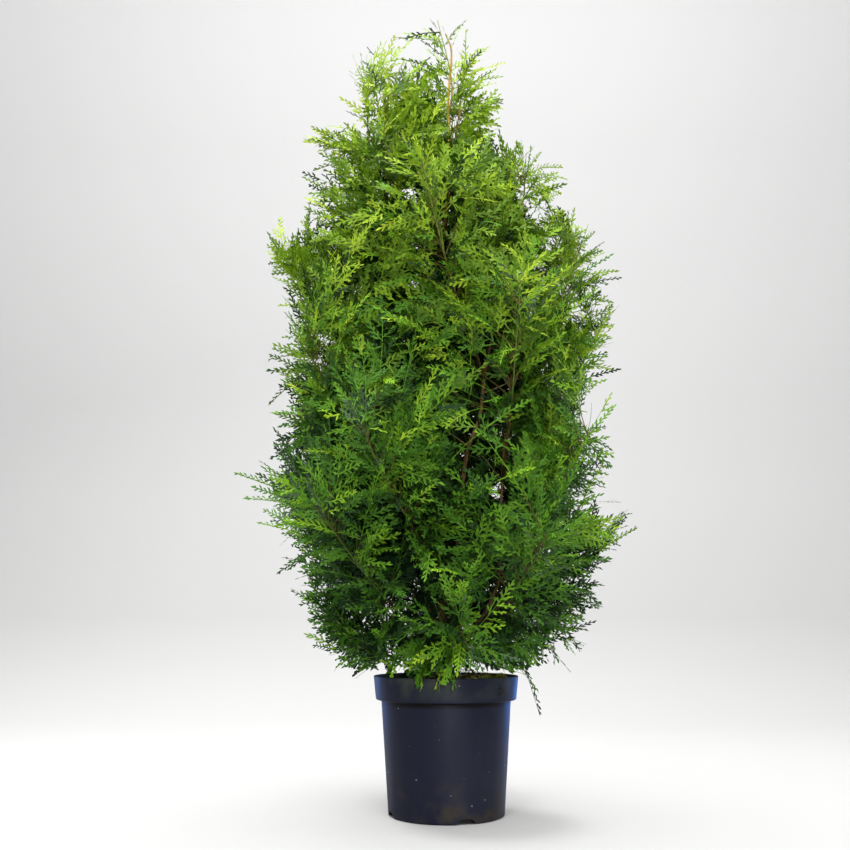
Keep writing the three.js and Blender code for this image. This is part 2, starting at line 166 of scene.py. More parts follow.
class Spline:
    """A smooth line through its points, in shares of their count."""

    def __init__(self, points):
        p = np.array(points, float)
        self.points = np.vstack([2 * p[0] - p[1], p, 2 * p[-1] - p[-2]])
        self.spans = len(points) - 1

    def at(self, share):
        share = np.atleast_1d(share) * self.spans
        i = np.minimum(share.astype(int), self.spans - 1)
        t = (share - i)[:, None]
        p0, p1, p2, p3 = (self.points[i + k] for k in range(4))
        v0, v1 = (p2 - p0) / 2, (p3 - p1) / 2
        return p1 + v0 * t + (3 * (p2 - p1) - 2 * v0 - v1) * t**2 + (2 * (p1 - p2) + v0 + v1) * t**3

    def along(self, share):
        return unit(self.at(np.minimum(share + 1e-3, 1)) - self.at(np.maximum(share - 1e-3, 0)))

    def span(self):
        return np.linalg.norm(self.at(1)[0] - self.at(0)[0])

    def share_at_height(self, height):
        low, high = 0.0, 1.0
        for _ in range(30):
            middle = (low + high) / 2
            if self.at(middle)[0, 2] < height:
                low = middle
            else:
                high = middle
        return low

    def at_height(self, height):
        return self.at(self.share_at_height(height))[0]


class Bezier(Spline):
    """A cubic curve from its foot to its tip."""

    def __init__(self, foot, near, far, tip):
        self.controls = [np.array(p, float) for p in (foot, near, far, tip)]

    def at(self, share):
        t = np.atleast_1d(share)[:, None]
        a, b, c, d = self.controls
        return a * (1 - t) ** 3 + 3 * b * (1 - t) ** 2 * t + 3 * c * (1 - t) * t**2 + d * t**3


stem_lines = {name: Spline(stem.line) for name, stem in STEMS.items()}


def outline_at(height):
    z = np.clip(height, OUTLINE[0, 0], OUTLINE[-1, 0])
    return np.interp(z, OUTLINE[:, 0], OUTLINE[:, 1]), np.interp(z, OUTLINE[:, 0], OUTLINE[:, 2])


def depth_share(points):
    """How far out points lie: 0 on the crown's axis, 1 on its outline."""
    radius, axis = outline_at(points[..., 2])
    return np.hypot(points[..., 0] - axis, points[..., 1]) / radius


def host_stem(azimuth, height):
    """The line of the stem that stands furthest out towards an azimuth."""
    best, furthest = stem_lines["trunk"], -math.inf
    for line in stem_lines.values():
        if height < line.at(0)[0, 2] + 25 or height > line.at(1)[0, 2] - 20:
            continue
        out = np.dot(line.at_height(height), heading(azimuth))
        if out > furthest:
            best, furthest = line, out
    return best


def plan_branch(level, index, count, first, leave, tip_height, reach, start, end, bare, shoots):
    roll = dice(SEED + 101 * level + 7919 * index)
    azimuth = math.radians(first + index * 360 / count + roll(-7, 7))
    leave = leave + TIER_CLIMB * (index / (count - 1) - 0.5) + roll(-4, 4)
    tip_height = tip_height + roll(-30, 30)
    foot = host_stem(azimuth, leave).at_height(leave)
    radius, axis = outline_at(tip_height)
    tip = np.array([axis, 0, tip_height]) + heading(azimuth) * (radius * reach * roll(0.95, 1.04))
    out = unit((tip - foot) * [1, 1, 0])
    span = np.linalg.norm(tip - foot)
    start, end = math.radians(start), math.radians(end)
    near = foot + (out * math.cos(start) + UP * math.sin(start)) * span * 0.36
    far = tip - (out * math.cos(end) + UP * math.sin(end)) * span * 0.3
    around = np.cross(UP, heading(azimuth))
    return SimpleNamespace(line=Bezier(foot, near, far, tip), bare=bare, around=around, shoots=shoots)


def plan_leader():
    foot, tip = stem_lines["trunk"].at_height(LEADER.leave), np.array(LEADER.tip, float)
    line = Bezier(foot, foot + LEADER.near, tip + LEADER.far, tip)
    return SimpleNamespace(line=line, bare=0.0, around=np.array([1.0, 0, 0]), shoots=LEADER.shoots)


branches = [plan_branch(level, i, *tier) for level, tier in enumerate(TIERS.values()) for i in range(tier[0])]
branches.append(plan_leader())

# ---- growing many axes at once
rng = np.random.default_rng(SEED)
AXIS_VALUES = ("start", "forward", "side", "length", "bend", "droop", "tone")


class Axes:
    """Growing axes: start, forward, side, length, bend to the side and droop off the face, and tone."""

    def __init__(self, start, forward, side, length, bend, droop, tone):
        self.start, self.length, self.bend, self.droop, self.tone = start, length, bend, droop, tone
        self.forward = unit(forward)
        self.side = unit(side - self.forward * np.sum(side * self.forward, 1, keepdims=True))

    def __len__(self):
        return len(self.length)

    def only(self, keep):
        return Axes(*(getattr(self, name)[keep] for name in AXIS_VALUES))

    def at(self, i, t):
        """Place, forward, side and face of axis i at its share t."""
        f, s = self.forward[i], self.side[i]
        n = np.cross(f, s)
        a, b, t = self.bend[i][:, None], self.droop[i][:, None], t[:, None]
        place = self.start[i] + self.length[i][:, None] * (
            f * (t - (a * a + b * b) * t**3 / 6) + s * a * t**2 / 2 + n * b * t**2 / 2
        )
        forward = unit(f + s * a * t + n * b * t)
        side = unit(s - forward * np.sum(s * forward, 1, keepdims=True))
        return place, forward, side, np.cross(forward, side)

    def all_at(self, share):
        return self.at(np.arange(len(self)), np.full(len(self), share))


def joined(*axes):
    return Axes(*(np.concatenate([getattr(a, name) for a in axes]) for name in AXIS_VALUES))


def side_axes(axes, rule, size):
    """Axes that leave each of `axes` alternately left and right, near its own plane."""
    count = np.maximum(2, (axes.length * (1 - rule.first) / rule.gap).astype(int))
    owner = np.repeat(np.arange(len(count)), count)
    step = np.arange(len(owner)) - np.repeat(np.cumsum(count) - count, count)
    total = len(owner)
    t = rule.first + (1 - rule.first) * (step + 0.5 + rng.uniform(-0.3, 0.3, total)) / count[owner]
    hand = np.where((step + owner) % 2 == 0, 1.0, -1.0)
    length = size(t, axes.length[owner]) * rng.uniform(0.75, 1.2, total)
    place, forward, side, face = axes.at(owner, t)
    angle = np.radians(lerp(*rule.lean, t)) * rng.uniform(0.8, 1.2, total)
    away = unit(side * hand[:, None] + face * rng.normal(0, rule.lift, total)[:, None])
    towards = forward * np.cos(angle)[:, None] + away * np.sin(angle)[:, None]
    turn = rng.normal(0, rule.twist, total)[:, None]
    flat = np.cross(face, towards)
    across = unit(flat * np.cos(turn) + face * np.sin(turn))
    normal = np.cross(towards, across)
    bend = -hand * rule.curl * rng.uniform(0.4, 1.4, total) - rule.sag * across[:, 2]
    droop = rng.normal(0, 0.25, total) - rule.sag * normal[:, 2]
    side_ones = Axes(place, towards, across, length, bend, droop, axes.tone[owner])
    return side_ones.only(length > rule.shortest)


def end_axes(axes, share, longest, start=0.97):
    """One axis that carries on from near the end of each of `axes`."""
    place, forward, side, _ = axes.all_at(start)
    length = np.minimum(axes.length * share, longest) * rng.uniform(0.8, 1.2, len(axes))
    return Axes(place, forward, side, length, axes.bend * share, axes.droop * share, axes.tone)


# ---- shoots: the sprays along each limb
SHOOT = SimpleNamespace(
    length=165, shortest=38, middle=0.6, gravity=0.45, trials=9, room=75, fill=760, fill_reach=150
)
SPRIG = SimpleNamespace(length=95, above=1105)
BODY_HEIGHTS = (180, 300, 420, 560, 860, 950, 1040, 1130, 1250)
BODY_SHARES = (0.74, 0.80, 0.82, 0.83, 0.86, 0.76, 0.68, 0.68, 0.80)
HANGING = [  # tip and start of the drooping twigs
    ((150, -30, 152), (95, -30, 235)), ((122, -62, 172), (70, -50, 232)),
]
OVER_RIM = [  # tip and start of the bright sprays in front of the container's rim
    ((-52, -118, 188), (-16, -40, 262)), ((-36, -126, 182), (-12, -40, 268)),
    ((-18, -128, 180), (-10, -40, 270)), ((0, -124, 186), (0, -40, 262)), ((12, -118, 196), (6, -40, 262)),
    ((-34, -138, 208), (-10, -50, 300)),
]
REACHING = [  # tips of the bare-stalked sprays that stand out furthest at both sides and the top
    (-228, 0, 1062), (-222, 20, 1000), (186, 0, 1000), (150, -20, 1012), (98, 0, 1190), (-140, 0, 1192),
    (-326, 0, 531), (-300, 30, 545), (276, 0, 424), (262, 40, 440), (-256, 0, 372), (-238, 40, 384),
    (186, 0, 206), (172, -20, 222), (266, 0, 757), (-292, 0, 640), (204, 0, 275), (190, -50, 292),
    (198, 40, 266), (-20, 0, 1266), (-66, 6, 1250), (30, 0, 1248), (-112, 0, 1188), (-100, -24, 1204),
    (-122, 20, 1168), (88, 0, 1172), (82, -14, 1150), (94, 12, 1128), (60, 0, 1212), (-290, -20, 520),
    (-270, 0, 560), (250, 0, 520), (252, -30, 470), (246, 20, 645), (256, -10, 668), (-276, 0, 690),
    (-250, -30, 860), (226, 0, 860), (230, 30, 800), (-218, -16, 1052), (-208, 18, 1076), (-206, -6, 1034),
    (178, -20, 1010), (170, 22, 988), (180, -6, 978), (272, 0, 812), (258, -24, 830), (262, 20, 790),
    (262, 0, 531), (256, -20, 545), (-318, 12, 552), (-312, -12, 514), (-286, 10, 486), (-74, 4, 1244),
]
LEAFY = [  # tips of full sprays in the same way
    (-196, 0, 1062), (-190, -24, 1040), (166, -16, 962), (178, 20, 940), (92, -20, 1112), (84, 20, 1098),
    (-112, 0, 1206), (-98, 20, 1212), (-90, -14, 1196), (-122, -20, 1190), (-162, 0, 206), (-150, -24, 216),
    (-140, 24, 204), (-168, -20, 226), (246, -20, 530), (240, 24, 520), (262, -10, 430), (248, -40, 420),
    (206, -10, 282), (196, 30, 270), (-214, 0, 1058), (-204, -10, 1044), (250, -10, 812), (240, 20, 800),
]
OUT_OF_REACH = 1000  # what it costs a shoot to grow backwards, which rules it out
shoot_rows, sprig_rows, shoot_middles = [], [], []


def body_share(points):
    """How far out the full part of the crown goes, as a share of the outline that its tips reach."""
    height = points[..., 2]
    turn = np.arctan2(points[..., 1], points[..., 0] - outline_at(height)[1])
    lumps = 0.03 * np.sin(3 * turn + height * 0.021) + 0.03 * np.sin(5 * turn - height * 0.034 + 1.2)
    lumps = lumps + 0.10 * np.cos(turn) * np.interp(height, [180, 340], [1, 0])
    return np.interp(height, BODY_HEIGHTS, BODY_SHARES) + lumps


# How far left and right the crown goes as seen from the front: height, then its tips, then its full part.
SEEN = np.array([
    (150, -130, 150, -105, 110), (200, -168, 190, -162, 152), (270, -205, 226, -182, 224),
    (320, -230, 230, -218, 222), (370, -262, 256, -224, 240), (424, -268, 280, -202, 264),
    (477, -310, 256, -246, 242), (531, -340, 260, -248, 256), (586, -298, 268, -242, 222),
    (642, -298, 264, -238, 246), (699, -260, 262, -218, 260), (757, -246, 272, -200, 230),
    (815, -276, 275, -252, 244), (875, -292, 240, -256, 218), (935, -234, 200, -198, 196),
    (997, -228, 186, -190, 110), (1060, -232, 104, -210, 84), (1123, -167, 99, -128, 86),
    (1188, -146, 98, -112, 34), (1254, -92, 34, -16, 14),
], float)
# The lowest that foliage hangs, as seen from the front: across, height.
FOOT = np.array([
    (-200, 200), (-115, 194), (-70, 186), (-46, 170), (14, 170), (28, 192), (110, 197), (150, 206),
    (230, 232),
], float)
EYE = np.array([0.0, -1429.0, 257.4])  # where the camera stands


def seen(points):
    """Where the lines of sight from the front through points cross the upright plane through the stems."""
    points = np.asarray(points, float)
    return EYE + (points - EYE) * (-EYE[1] / (points[..., 1:2] - EYE[1]))


def in_outline(points, reach, spare=0.0):
    """Whether points stand inside the outline that the crown shows from the front."""
    place = seen(points)
    x, z = place[..., 0], place[..., 2]
    left, right = (1, 2) if reach == "tips" else (3, 4)
    inside = x > np.interp(z, SEEN[:, 0], SEEN[:, left]) - spare
    inside &= x < np.interp(z, SEEN[:, 0], SEEN[:, right]) + spare
    return inside & (z > np.interp(x, FOOT[:, 0], FOOT[:, 1]))


def clears_pot(point):
    return not (point[2] < POT.height + 12 and math.hypot(point[0], point[1]) < POT.rim + 7)


def fitted_length(foot, towards, length, reach):
    """The longest shoot up to `length` that stays inside the crown and off the container, or 0."""
    while length > SHOOT.shortest:
        tip = foot + towards * length
        limit, spare = (body_share(tip), -12) if reach == "body" else (1.03, 0)
        inside = depth_share(tip) < limit and tip[2] < TIP_HEIGHT - 14 and in_outline(tip, reach, spare)
        if inside and clears_pot(tip) and clears_pot(foot + towards * length * 0.5):
            return length
        length *= 0.88
    return 0


def room_at(point):
    """The free space round a point, up to the room that a shoot wants."""
    if not shoot_middles:
        return SHOOT.room
    return min(SHOOT.room, np.linalg.norm(np.array(shoot_middles) - point, axis=1).min())


def add_shoot(foot, towards, length, sprig=False):
    """A shoot whose flat face looks more or less outwards from the crown. A sprig carries no fronds."""
    radial = unit((foot + towards * length) * [1, 1, 0])
    turn = rng.normal(0, 0.9)
    normal = radial * math.cos(turn) + np.cross(UP, radial) * math.sin(turn) + UP * rng.normal(0.3, 0.5)
    row = np.concatenate([foot, towards, unit(np.cross(normal, towards)), [length]])
    (sprig_rows if sprig else shoot_rows).append(row)
    shoot_middles.append(foot + towards * length * SHOOT.middle)


def best_shoot(foot, along, beside, spins, leans, length, reach, sprig=False):
    """Of some directions off a limb, takes the one with most room and length."""
    outward = unit(np.cross(beside, along))
    best = (0, None, 0)
    for _ in range(SHOOT.trials):
        spin, lean = math.radians(rng.uniform(*spins)), math.radians(rng.uniform(*leans))
        sideways = beside * math.cos(spin) + outward * math.sin(spin)
        towards = unit(along * math.cos(lean) + sideways * math.sin(lean))
        fitted = fitted_length(foot, towards, length, reach)
        worth = room_at(foot + towards * fitted * SHOOT.middle) * (fitted / length) ** 0.7
        if fitted and worth > best[0]:
            best = (worth, towards, fitted)
    if best[2]:
        add_shoot(foot, best[1], best[2], sprig)


def last_share(branch):
    """How far along a branch its wood goes inside the outline of the crown."""
    shares = np.linspace(0.4, 0.95, 56)
    return shares[in_outline(branch.line.at(shares), "body", -6)].max(initial=0.4)


def limb_frame(branch, share):
    """A place on a branch, the direction along it there and the one beside it."""
    foot, along = branch.line.at(share)[0], branch.line.along(share)[0]
    return foot, along, unit(branch.around - along * np.dot(branch.around, along))


def branch_shoots(branch):
    foot, along = branch.line.at(branch.last - 0.05)[0], branch.line.along(branch.last)[0]
    for turn in (0, 24, -24):
        spread = math.radians(turn)
        towards = unit(along * math.cos(spread) + branch.around * math.sin(spread))
        length = fitted_length(foot, towards, 88, "tips")
        if length:
            add_shoot(foot, towards, length, foot[2] > SPRIG.above or turn > 0)
    for k in range(branch.shoots):
        share = lerp(lerp(branch.bare, 1, 0.03), branch.last, (k / (branch.shoots - 1)) ** 0.9)
        foot, along, beside = limb_frame(branch, share)
        spins = (90, 270) if k % 2 else (-90, 90)
        leans = (lerp(46, 26, share), lerp(88, 66, share))
        sprig = foot[2] > SPRIG.above - 20 or rng.random() < 0.28
        longest, reach = (SPRIG.length, "tips") if sprig else (SHOOT.length, "body")
        length = longest * lerp(1.08, 0.6, share) * rng.uniform(0.75, 1.12)
        best_shoot(foot, along, beside, spins, leans, length, reach, sprig)


def collar_shoots(branch, every):
    """Short shoots close along a branch, which hide its bark."""
    for share in np.arange(max(branch.bare, 0.12), branch.last, every / branch.line.span()):
        foot, along, beside = limb_frame(branch, share)
        length, sprig = rng.uniform(42, 62), foot[2] > SPRIG.above
        best_shoot(foot, along, beside, (-180, 180), (20, 60), length, "tips", sprig)


def stem_shoots(name, first, last, every):
    """Small shoots straight on a stem, winding up round it."""
    line = stem_lines[name]
    for k, height in enumerate(np.arange(first, last, every)):
        share = line.share_at_height(height)
        foot, along = line.at(share)[0], line.along(share)[0]
        azimuth = math.degrees(k * 2.4)
        beside = unit(np.cross(along, [1.0, 0, 0]))
        length, sprig = rng.uniform(60, 125), height > SPRIG.above
        best_shoot(foot, along, beside, (azimuth - 40, azimuth + 40), (42, 72), length, "body", sprig)


def limb_points():
    """Points along every limb and the direction of growth there."""
    limbs = [(branch.line, branch.bare, branch.last) for branch in branches]
    limbs += [(line, 0.15, 0.96) for line in stem_lines.values()]
    shares = [np.linspace(first, last, 40) for _, first, last in limbs]
    feet = np.concatenate([line.at(share) for (line, _, _), share in zip(limbs, shares)])
    alongs = np.concatenate([line.along(share) for (line, _, _), share in zip(limbs, shares)])
    return feet, alongs


def fill_shoots():
    """Shoots from the nearest limb towards whatever parts of the crown are still empty."""
    feet, alongs = limb_points()
    for _ in range(SHOOT.fill):
        height = rng.uniform(200, SPRIG.above, 40)
        radius, axis = outline_at(height)
        turn, out = rng.uniform(0, TURN, 40), np.sqrt(rng.uniform(0.02, 0.72, 40))
        spots = np.stack([axis + np.cos(turn) * radius * out, np.sin(turn) * radius * out, height], 1)
        room = np.linalg.norm(np.array(shoot_middles)[None] - spots[:, None], axis=2).min(1)
        spot = spots[np.argmax(room)]
        offset = spot - feet
        distance = np.linalg.norm(offset, axis=1)
        forward = np.sum(offset * alongs, 1) / np.maximum(distance, 1)
        cost = distance * (1.6 - forward) + OUT_OF_REACH * (forward < 0.05) + 40 * (offset[:, 2] < 0)
        nearest = np.argmin(cost)
        length = distance[nearest] / SHOOT.middle
        if cost[nearest] < OUT_OF_REACH and 45 < length < SHOOT.fill_reach / SHOOT.middle:
            towards = unit(offset[nearest])
            length = fitted_length(feet[nearest], towards, length, "body")
            if length:
                add_shoot(feet[nearest], towards, length)
        shoot_middles.append(spot)


def hanging_shoots():
    """The sprays whose tips are set one by one, each from the limb nearest to its start."""
    feet, _ = limb_points()

    def grow(tip, start, lift=0, share=1, sprig=False):
        foot = feet[np.argmin(np.linalg.norm(feet - start, axis=1))]
        add_shoot(foot, unit(tip - foot + lift * UP), np.linalg.norm(tip - foot) * share, sprig)

    for tip, start in HANGING:
        grow(tip, start, lift=30, sprig=True)
    for tips, sprig in ((REACHING, True), (LEAFY, False)):
        for tip in np.array(tips, float):
            grow(tip, tip * [0.70, 0.70, 1] + 42 * UP * (1 if tip[2] < 230 else -1), sprig=sprig)
    for tip, start in OVER_RIM:
        grow(tip, start, lift=26, share=0.96)


def grown(rows, gravity):
    """Axes from rows of start, forward, side and length, bent down by their weight."""
    rows = np.array(rows)
    start, forward, side, length = rows[:, 0:3], unit(rows[:, 3:6]), unit(rows[:, 6:9]), rows[:, 9]
    face = np.cross(forward, side)
    sag = -gravity * (length / SHOOT.length)
    bend = side[:, 2] * sag + rng.normal(0, 0.24, len(rows))
    droop = face[:, 2] * sag + rng.normal(0, 0.12, len(rows))
    return Axes(start, forward, side, length, bend, droop, rng.normal(0, 1, len(rows)))


def plan_shoots():
    for branch in branches:
        branch.last = last_share(branch)
        branch_shoots(branch)
    for branch in branches:
        collar_shoots(branch, 24)
    stem_shoots("trunk", 300, 1215, 21)
    stem_shoots("stem_right", 300, 865, 26)
    stem_shoots("stem_low_right", 280, 675, 28)
    stem_shoots("stem_left", 300, 985, 22)
    fill_shoots()
    hanging_shoots()
    return grown(shoot_rows, SHOOT.gravity), grown(sprig_rows, SHOOT.gravity * 1.6)


# ---- fronds, branchlets and their tones
FROND = SimpleNamespace(
    gap=6.2, first=0.10, lean=(66, 46), shortest=12, curl=0.7, twist=0.5, lift=0.5, sag=0.35
)
BRANCHLET = SimpleNamespace(
    gap=4.1, first=0.06, lean=(50, 40), shortest=3, curl=0.5, twist=0.16, lift=0.09, sag=0.05
)
FURTHEST = SimpleNamespace(left=-334, front=-308)  # how far the tips of fronds go
CLEARED = 0.93  # the share of the fronds that is left out where a stem or an opening shows
THINNED = SimpleNamespace(above=1120, kept=0.7)  # the share of the branchlets that stays near the top
TONE_STEPS = (0.20, 0.46, 0.80, 1.16, 1.62)
# The lighter tones of the top are painted light from above.
TOP_TONES = SimpleNamespace(above=660, blend=110)  # where the tones of the top begin, and how softly
FADED = SimpleNamespace(beyond=1.12, share=0.3)  # how far out some fronds are grey
BRIGHT_PATCHES = [  # centre, radius and lift of painted highlights, sprays painted lighter and more yellow-green
    ((141, -150, 486), 55, 0.6), ((-216, -60, 835), 70, 0.5), ((213, -60, 432), 60, 0.5),
    ((-18, -135, 196), 60, 0.6), ((-90, -190, 640), 60, 0.3), ((60, -170, 760), 60, 0.3),
    ((-60, 200, 560), 80, 0.4), ((150, 150, 700), 70, 0.4), ((10, -190, 420), 110, 0.2),
    ((60, -150, 300), 80, 0.15), ((-60, -180, 320), 70, 0.2), ((180, -100, 680), 110, 0.32),
]


def tone_of(places, shoot_tone):
    """A tone for each frond from how far out it stands, how high, and the run of its shoot. Standing far out
    and high paints light on a frond, deep inside and low down paints shade.
    """
    out = depth_share(places) / body_share(places)
    height = np.clip((places[:, 2] - 200) / 900, 0, 1)
    # Painted shade and light: darker deep inside the crown and low down, lighter far out and high up; the
    # shoot's run and the noise are the foliage's own variation.
    value = 0.98 * out + 0.60 * height + 0.24 * shoot_tone + rng.normal(0, 0.26, len(places)) - 0.50
    # Painted light: lighter still near the top.
    value += np.interp(places[:, 2], [960, 1120], [0, 0.36])
    # Painted highlights: sprays lighter and more yellow-green round each of BRIGHT_PATCHES.
    for centre, radius, lift in BRIGHT_PATCHES:
        near = np.linalg.norm(places - np.array(centre), axis=1) / radius
        value += lift * np.clip(1.3 - near, 0, 1)
    tone = np.digitize(value, TONE_STEPS)
    # Painted light: above a blurred height each frond takes the lighter top copy of its tone.
    tone = tone + SIDE_TONES * (places[:, 2] + rng.normal(0, TOP_TONES.blend, len(places)) > TOP_TONES.above)
    faded = (out > FADED.beyond) & (rng.random(len(places)) < FADED.share)
    return np.where(faded, TONE_NAMES.index("grey_tip"), tone)


OPEN_STEMS = [  # stretches of stem that the crown leaves in sight, from one height to another
    ("stem_right", 470, 690), ("trunk", 825, 965), ("trunk", 1060, 1215), ("stem_low_right", 270, 345),
    ("stem_low_right", 440, 540), ("trunk", 270, 294),
]
OPENINGS = [  # across, height and radius, seen from the front, of openings right through the crown
    (-52, 944, 11), (-43, 790, 8), (150, 909, 15), (132, 948, 9), (168, 862, 9), (222, 578, 15), (76, 462, 7),
    (-183, 699, 8), (-192, 665, 6), (205, 742, 9),
]
SIDE_TWIGS = [  # stem, height and reach of the bare pale twigs in the opening at the front
    ("stem_right", 628, (-58, -14, 52)), ("stem_right", 600, (60, -16, 20)),
    ("stem_right", 574, (-46, -18, 24)), ("stem_right", 552, (42, -14, -4)),
    ("stem_right", 520, (-30, -20, 16)), ("stem_low_right", 470, (-30, -16, 34)),
    ("stem_right", 664, (34, -16, 40)), ("trunk", 1036, (30, -16, 74)),
]


def side_twig(name, height, reach):
    foot, reach = stem_lines[name].at_height(height), np.array(reach, float)
    return Bezier(foot, foot + reach * 0.35 - UP * 3, foot + reach * 0.7 + UP * 2, foot + reach)


def stem_stretch(name, low, high):
    return np.array([stem_lines[name].at_height(height) for height in np.arange(low, high, 6)])


side_twigs = [side_twig(*twig) for twig in SIDE_TWIGS]
open_wood = [line.at(np.linspace(0.1, 0.8, 12)) for line in side_twigs]
open_wood += [stem_stretch(*stretch) for stretch in OPEN_STEMS]


def veils_wood(places, near):
    """Which places hang in front of wood that the crown leaves in sight."""
    shown = seen(places)
    veiling = np.zeros(len(places), bool)
    for points in open_wood:
        aside = np.linalg.norm(shown[:, None, ::2] - seen(points)[None, :, ::2], axis=2)
        nearest = np.argmin(aside, axis=1)
        veiling |= (aside.min(1) < near) & (places[:, 1] < points[nearest, 1] - 4)
    return veiling


def in_opening(places, spare):
    shown = seen(places)
    found = np.zeros(len(places), bool)
    for across, height, radius in OPENINGS:
        found |= np.hypot(shown[:, 0] - across, shown[:, 2] - height) < radius + spare
    return found


def frond_size(t, length):
    return np.minimum(0.46 * length, 54) * np.clip(t / 0.2, 0.6, 1) * (1 - t) ** 0.42


def branchlet_size(t, length):
    longest = np.interp(length, [54, 80, 110], [17, 12.5, 14])
    return np.minimum(0.46 * length, longest) * np.clip(t / 0.12, 0.75, 1) * (1 - 0.58 * t)


shoots, sprigs = plan_shoots()
fronds = joined(side_axes(shoots, FROND, frond_size), end_axes(shoots, 0.44, 62, 0.82))
tips = fronds.all_at(1.0)[0]
fronds = joined(fronds.only(in_outline(tips, "tips", 2) & (tips[:, 2] < TIP_HEIGHT - 2)), sprigs)
tips = fronds.all_at(1.0)[0]
fronds = fronds.only((tips[:, 0] > FURTHEST.left) & (tips[:, 1] > FURTHEST.front))
middles = fronds.all_at(0.5)[0]
in_the_way = veils_wood(middles, 15) | in_opening(middles, 9)
fronds = fronds.only(~(in_the_way & (rng.random(len(fronds)) < CLEARED)))
fronds.tone = tone_of(fronds.all_at(0.6)[0], fronds.tone)
branchlets = joined(side_axes(fronds, BRANCHLET, branchlet_size), end_axes(fronds, 0.22, 10))
branchlets = branchlets.only(~veils_wood(branchlets.start, 5) & ~in_opening(branchlets.start, -1))
low_enough = branchlets.start[:, 2] < THINNED.above
branchlets = branchlets.only(low_enough | (rng.random(len(branchlets)) < THINNED.kept))


# ---- meshes
def linked(name, mesh, material=None, smooth=False):
    """A piece with a mesh, in the scene."""
    if smooth:
        mesh.shade_smooth()
    if material:
        mesh.materials.append(material)
    piece = bpy.data.objects.new(name, mesh)
    bpy.context.scene.collection.objects.link(piece)
    return piece


def listed_piece(name, points, faces, material=None, smooth=False):
    """A piece from lists of points in metres and of faces with any number of corners."""
    mesh = bpy.data.meshes.new(name)
    mesh.from_pydata(points, [], faces)
    return linked(name, mesh, material, smooth)


def mesh_piece(name, points, faces, material, smooth=False):
    """A piece from its points in millimetres and its faces, all with the same number of corners."""
    mesh = bpy.data.meshes.new(name)
    mesh.vertices.add(len(points))
    mesh.vertices.foreach_set("co", (np.asarray(points) * MM).astype(np.float32).ravel())
    faces = np.asarray(faces, np.int32)
    mesh.loops.add(faces.size)
    mesh.loops.foreach_set("vertex_index", faces.ravel())
    mesh.polygons.add(len(faces))
    mesh.polygons.foreach_set("loop_start", np.arange(0, faces.size, faces.shape[1], dtype=np.int32))
    mesh.update(calc_edges=True)
    mesh.validate()
    return linked(name, mesh, material, smooth)


def dress(piece, slot, *nodes):
    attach(piece, "root")
    if nodes:
        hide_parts(*nodes)


def nodes_called(start):
    return [name for name in frame["nodes"] if name.startswith(start)]


def merged(parts):
    """Several parts, each points and faces, as one."""
    points, faces, count = [], [], 0
    for part_points, part_faces in parts:
        points.append(part_points)
        faces.append(part_faces + count)
        count += len(part_points)
    return np.concatenate(points), np.concatenate(faces)


def ring_faces(sides):
    """The four-cornered faces between a ring of points and the next."""
    a = np.arange(sides)
    b = (a + 1) % sides
    return np.stack([a, b, b + sides, a + sides], 1)


def along_all(axes, shares):
    """The same shares along every axis: the axis, the share, and the place, side and face there."""
    index = np.repeat(np.arange(len(axes)), len(shares))
    share = np.tile(shares, len(axes))
    place, _, side, face = axes.at(index, share)
    return index, share, place, side, face


def branchlet_outline(lobes):
    """Points, as share along and millimetres across, and triangles: the blade, then pairs of scale leaves."""
    points = [(-0.06, -0.55), (-0.06, 0.55), (0.58, -1.15), (0.58, 1.15), (1, 0)]
    faces = [(0, 2, 3), (0, 3, 1), (2, 4, 3)]
    for foot, hand in lobes:
        first = len(points)
        lobe = ((0.0, 0.0), (0.24, 0.6), (0.36, 2.2), (0.12, 1.2))
        points += [(foot + along, across * hand) for along, across in lobe]
        faces += [tuple(first + corner for corner in face[::hand]) for face in ((0, 1, 2), (0, 2, 3))]
    return np.array(points), np.array(faces)


OUTLINES = [  # from which length up to which, and the outline of such branchlets
    (0, 11, branchlet_outline([])),
    (11, math.inf, branchlet_outline([(0.14, 1), (0.34, -1)])),
]


def blades(axes):
    """The branchlets as flat blades: points and triangles."""
    parts = []
    for low, high, (outline, triangles) in OUTLINES:
        some = axes.only((axes.length >= low) & (axes.length < high))
        index, _, place, side, _ = along_all(some, outline[:, 0])
        wide = np.interp(depth_share(some.start), [0.5, 0.82], [1.8, 1.12])
        wide = wide * np.interp(some.start[:, 2], [185, 215, 1080, 1170], [1.45, 1, 1, 0.74])
        points = place + side * (np.tile(outline[:, 1], len(some)) * wide[index])[:, None]
        firsts = np.arange(len(some))[:, None, None] * len(outline)
        parts.append((points, (triangles[None] + firsts).reshape(-1, 3)))
    return merged(parts)


def ribbons(axes, steps, wide, narrow):
    """Flat green ribbons along axes: points and triangles."""
    _, share, place, side, _ = along_all(axes, np.linspace(0, 1, steps + 1))
    half = lerp(wide, narrow, share)[:, None] / 2
    points = np.stack([place - side * half, place + side * half], 1).reshape(-1, 3)
    base = (np.arange(len(axes))[:, None] * (steps + 1) + np.arange(steps)).reshape(-1, 1) * 2
    return points, np.concatenate([base + [0, 2, 3], base + [0, 3, 1]])


def tubes(axes, first, last, steps, sides, foot, tip):
    """Round tapered twigs along axes: points and four-cornered faces."""
    index, share, place, side, face = along_all(axes, np.linspace(first, last, steps + 1))
    radius = lerp(foot, tip, (share - first) / (last - first)) * (axes.length[index] / SHOOT.length) ** 0.4
    turns = (np.arange(sides) * TURN / sides)[:, None]
    around = side[:, None] * np.cos(turns) + face[:, None] * np.sin(turns)
    points = (place[:, None] + around * radius[:, None, None]).reshape(-1, 3)
    ring = (np.arange(len(axes))[:, None] * (steps + 1) + np.arange(steps)).reshape(-1, 1, 1) * sides
    return points, (ring + ring_faces(sides)).reshape(-1, 4)


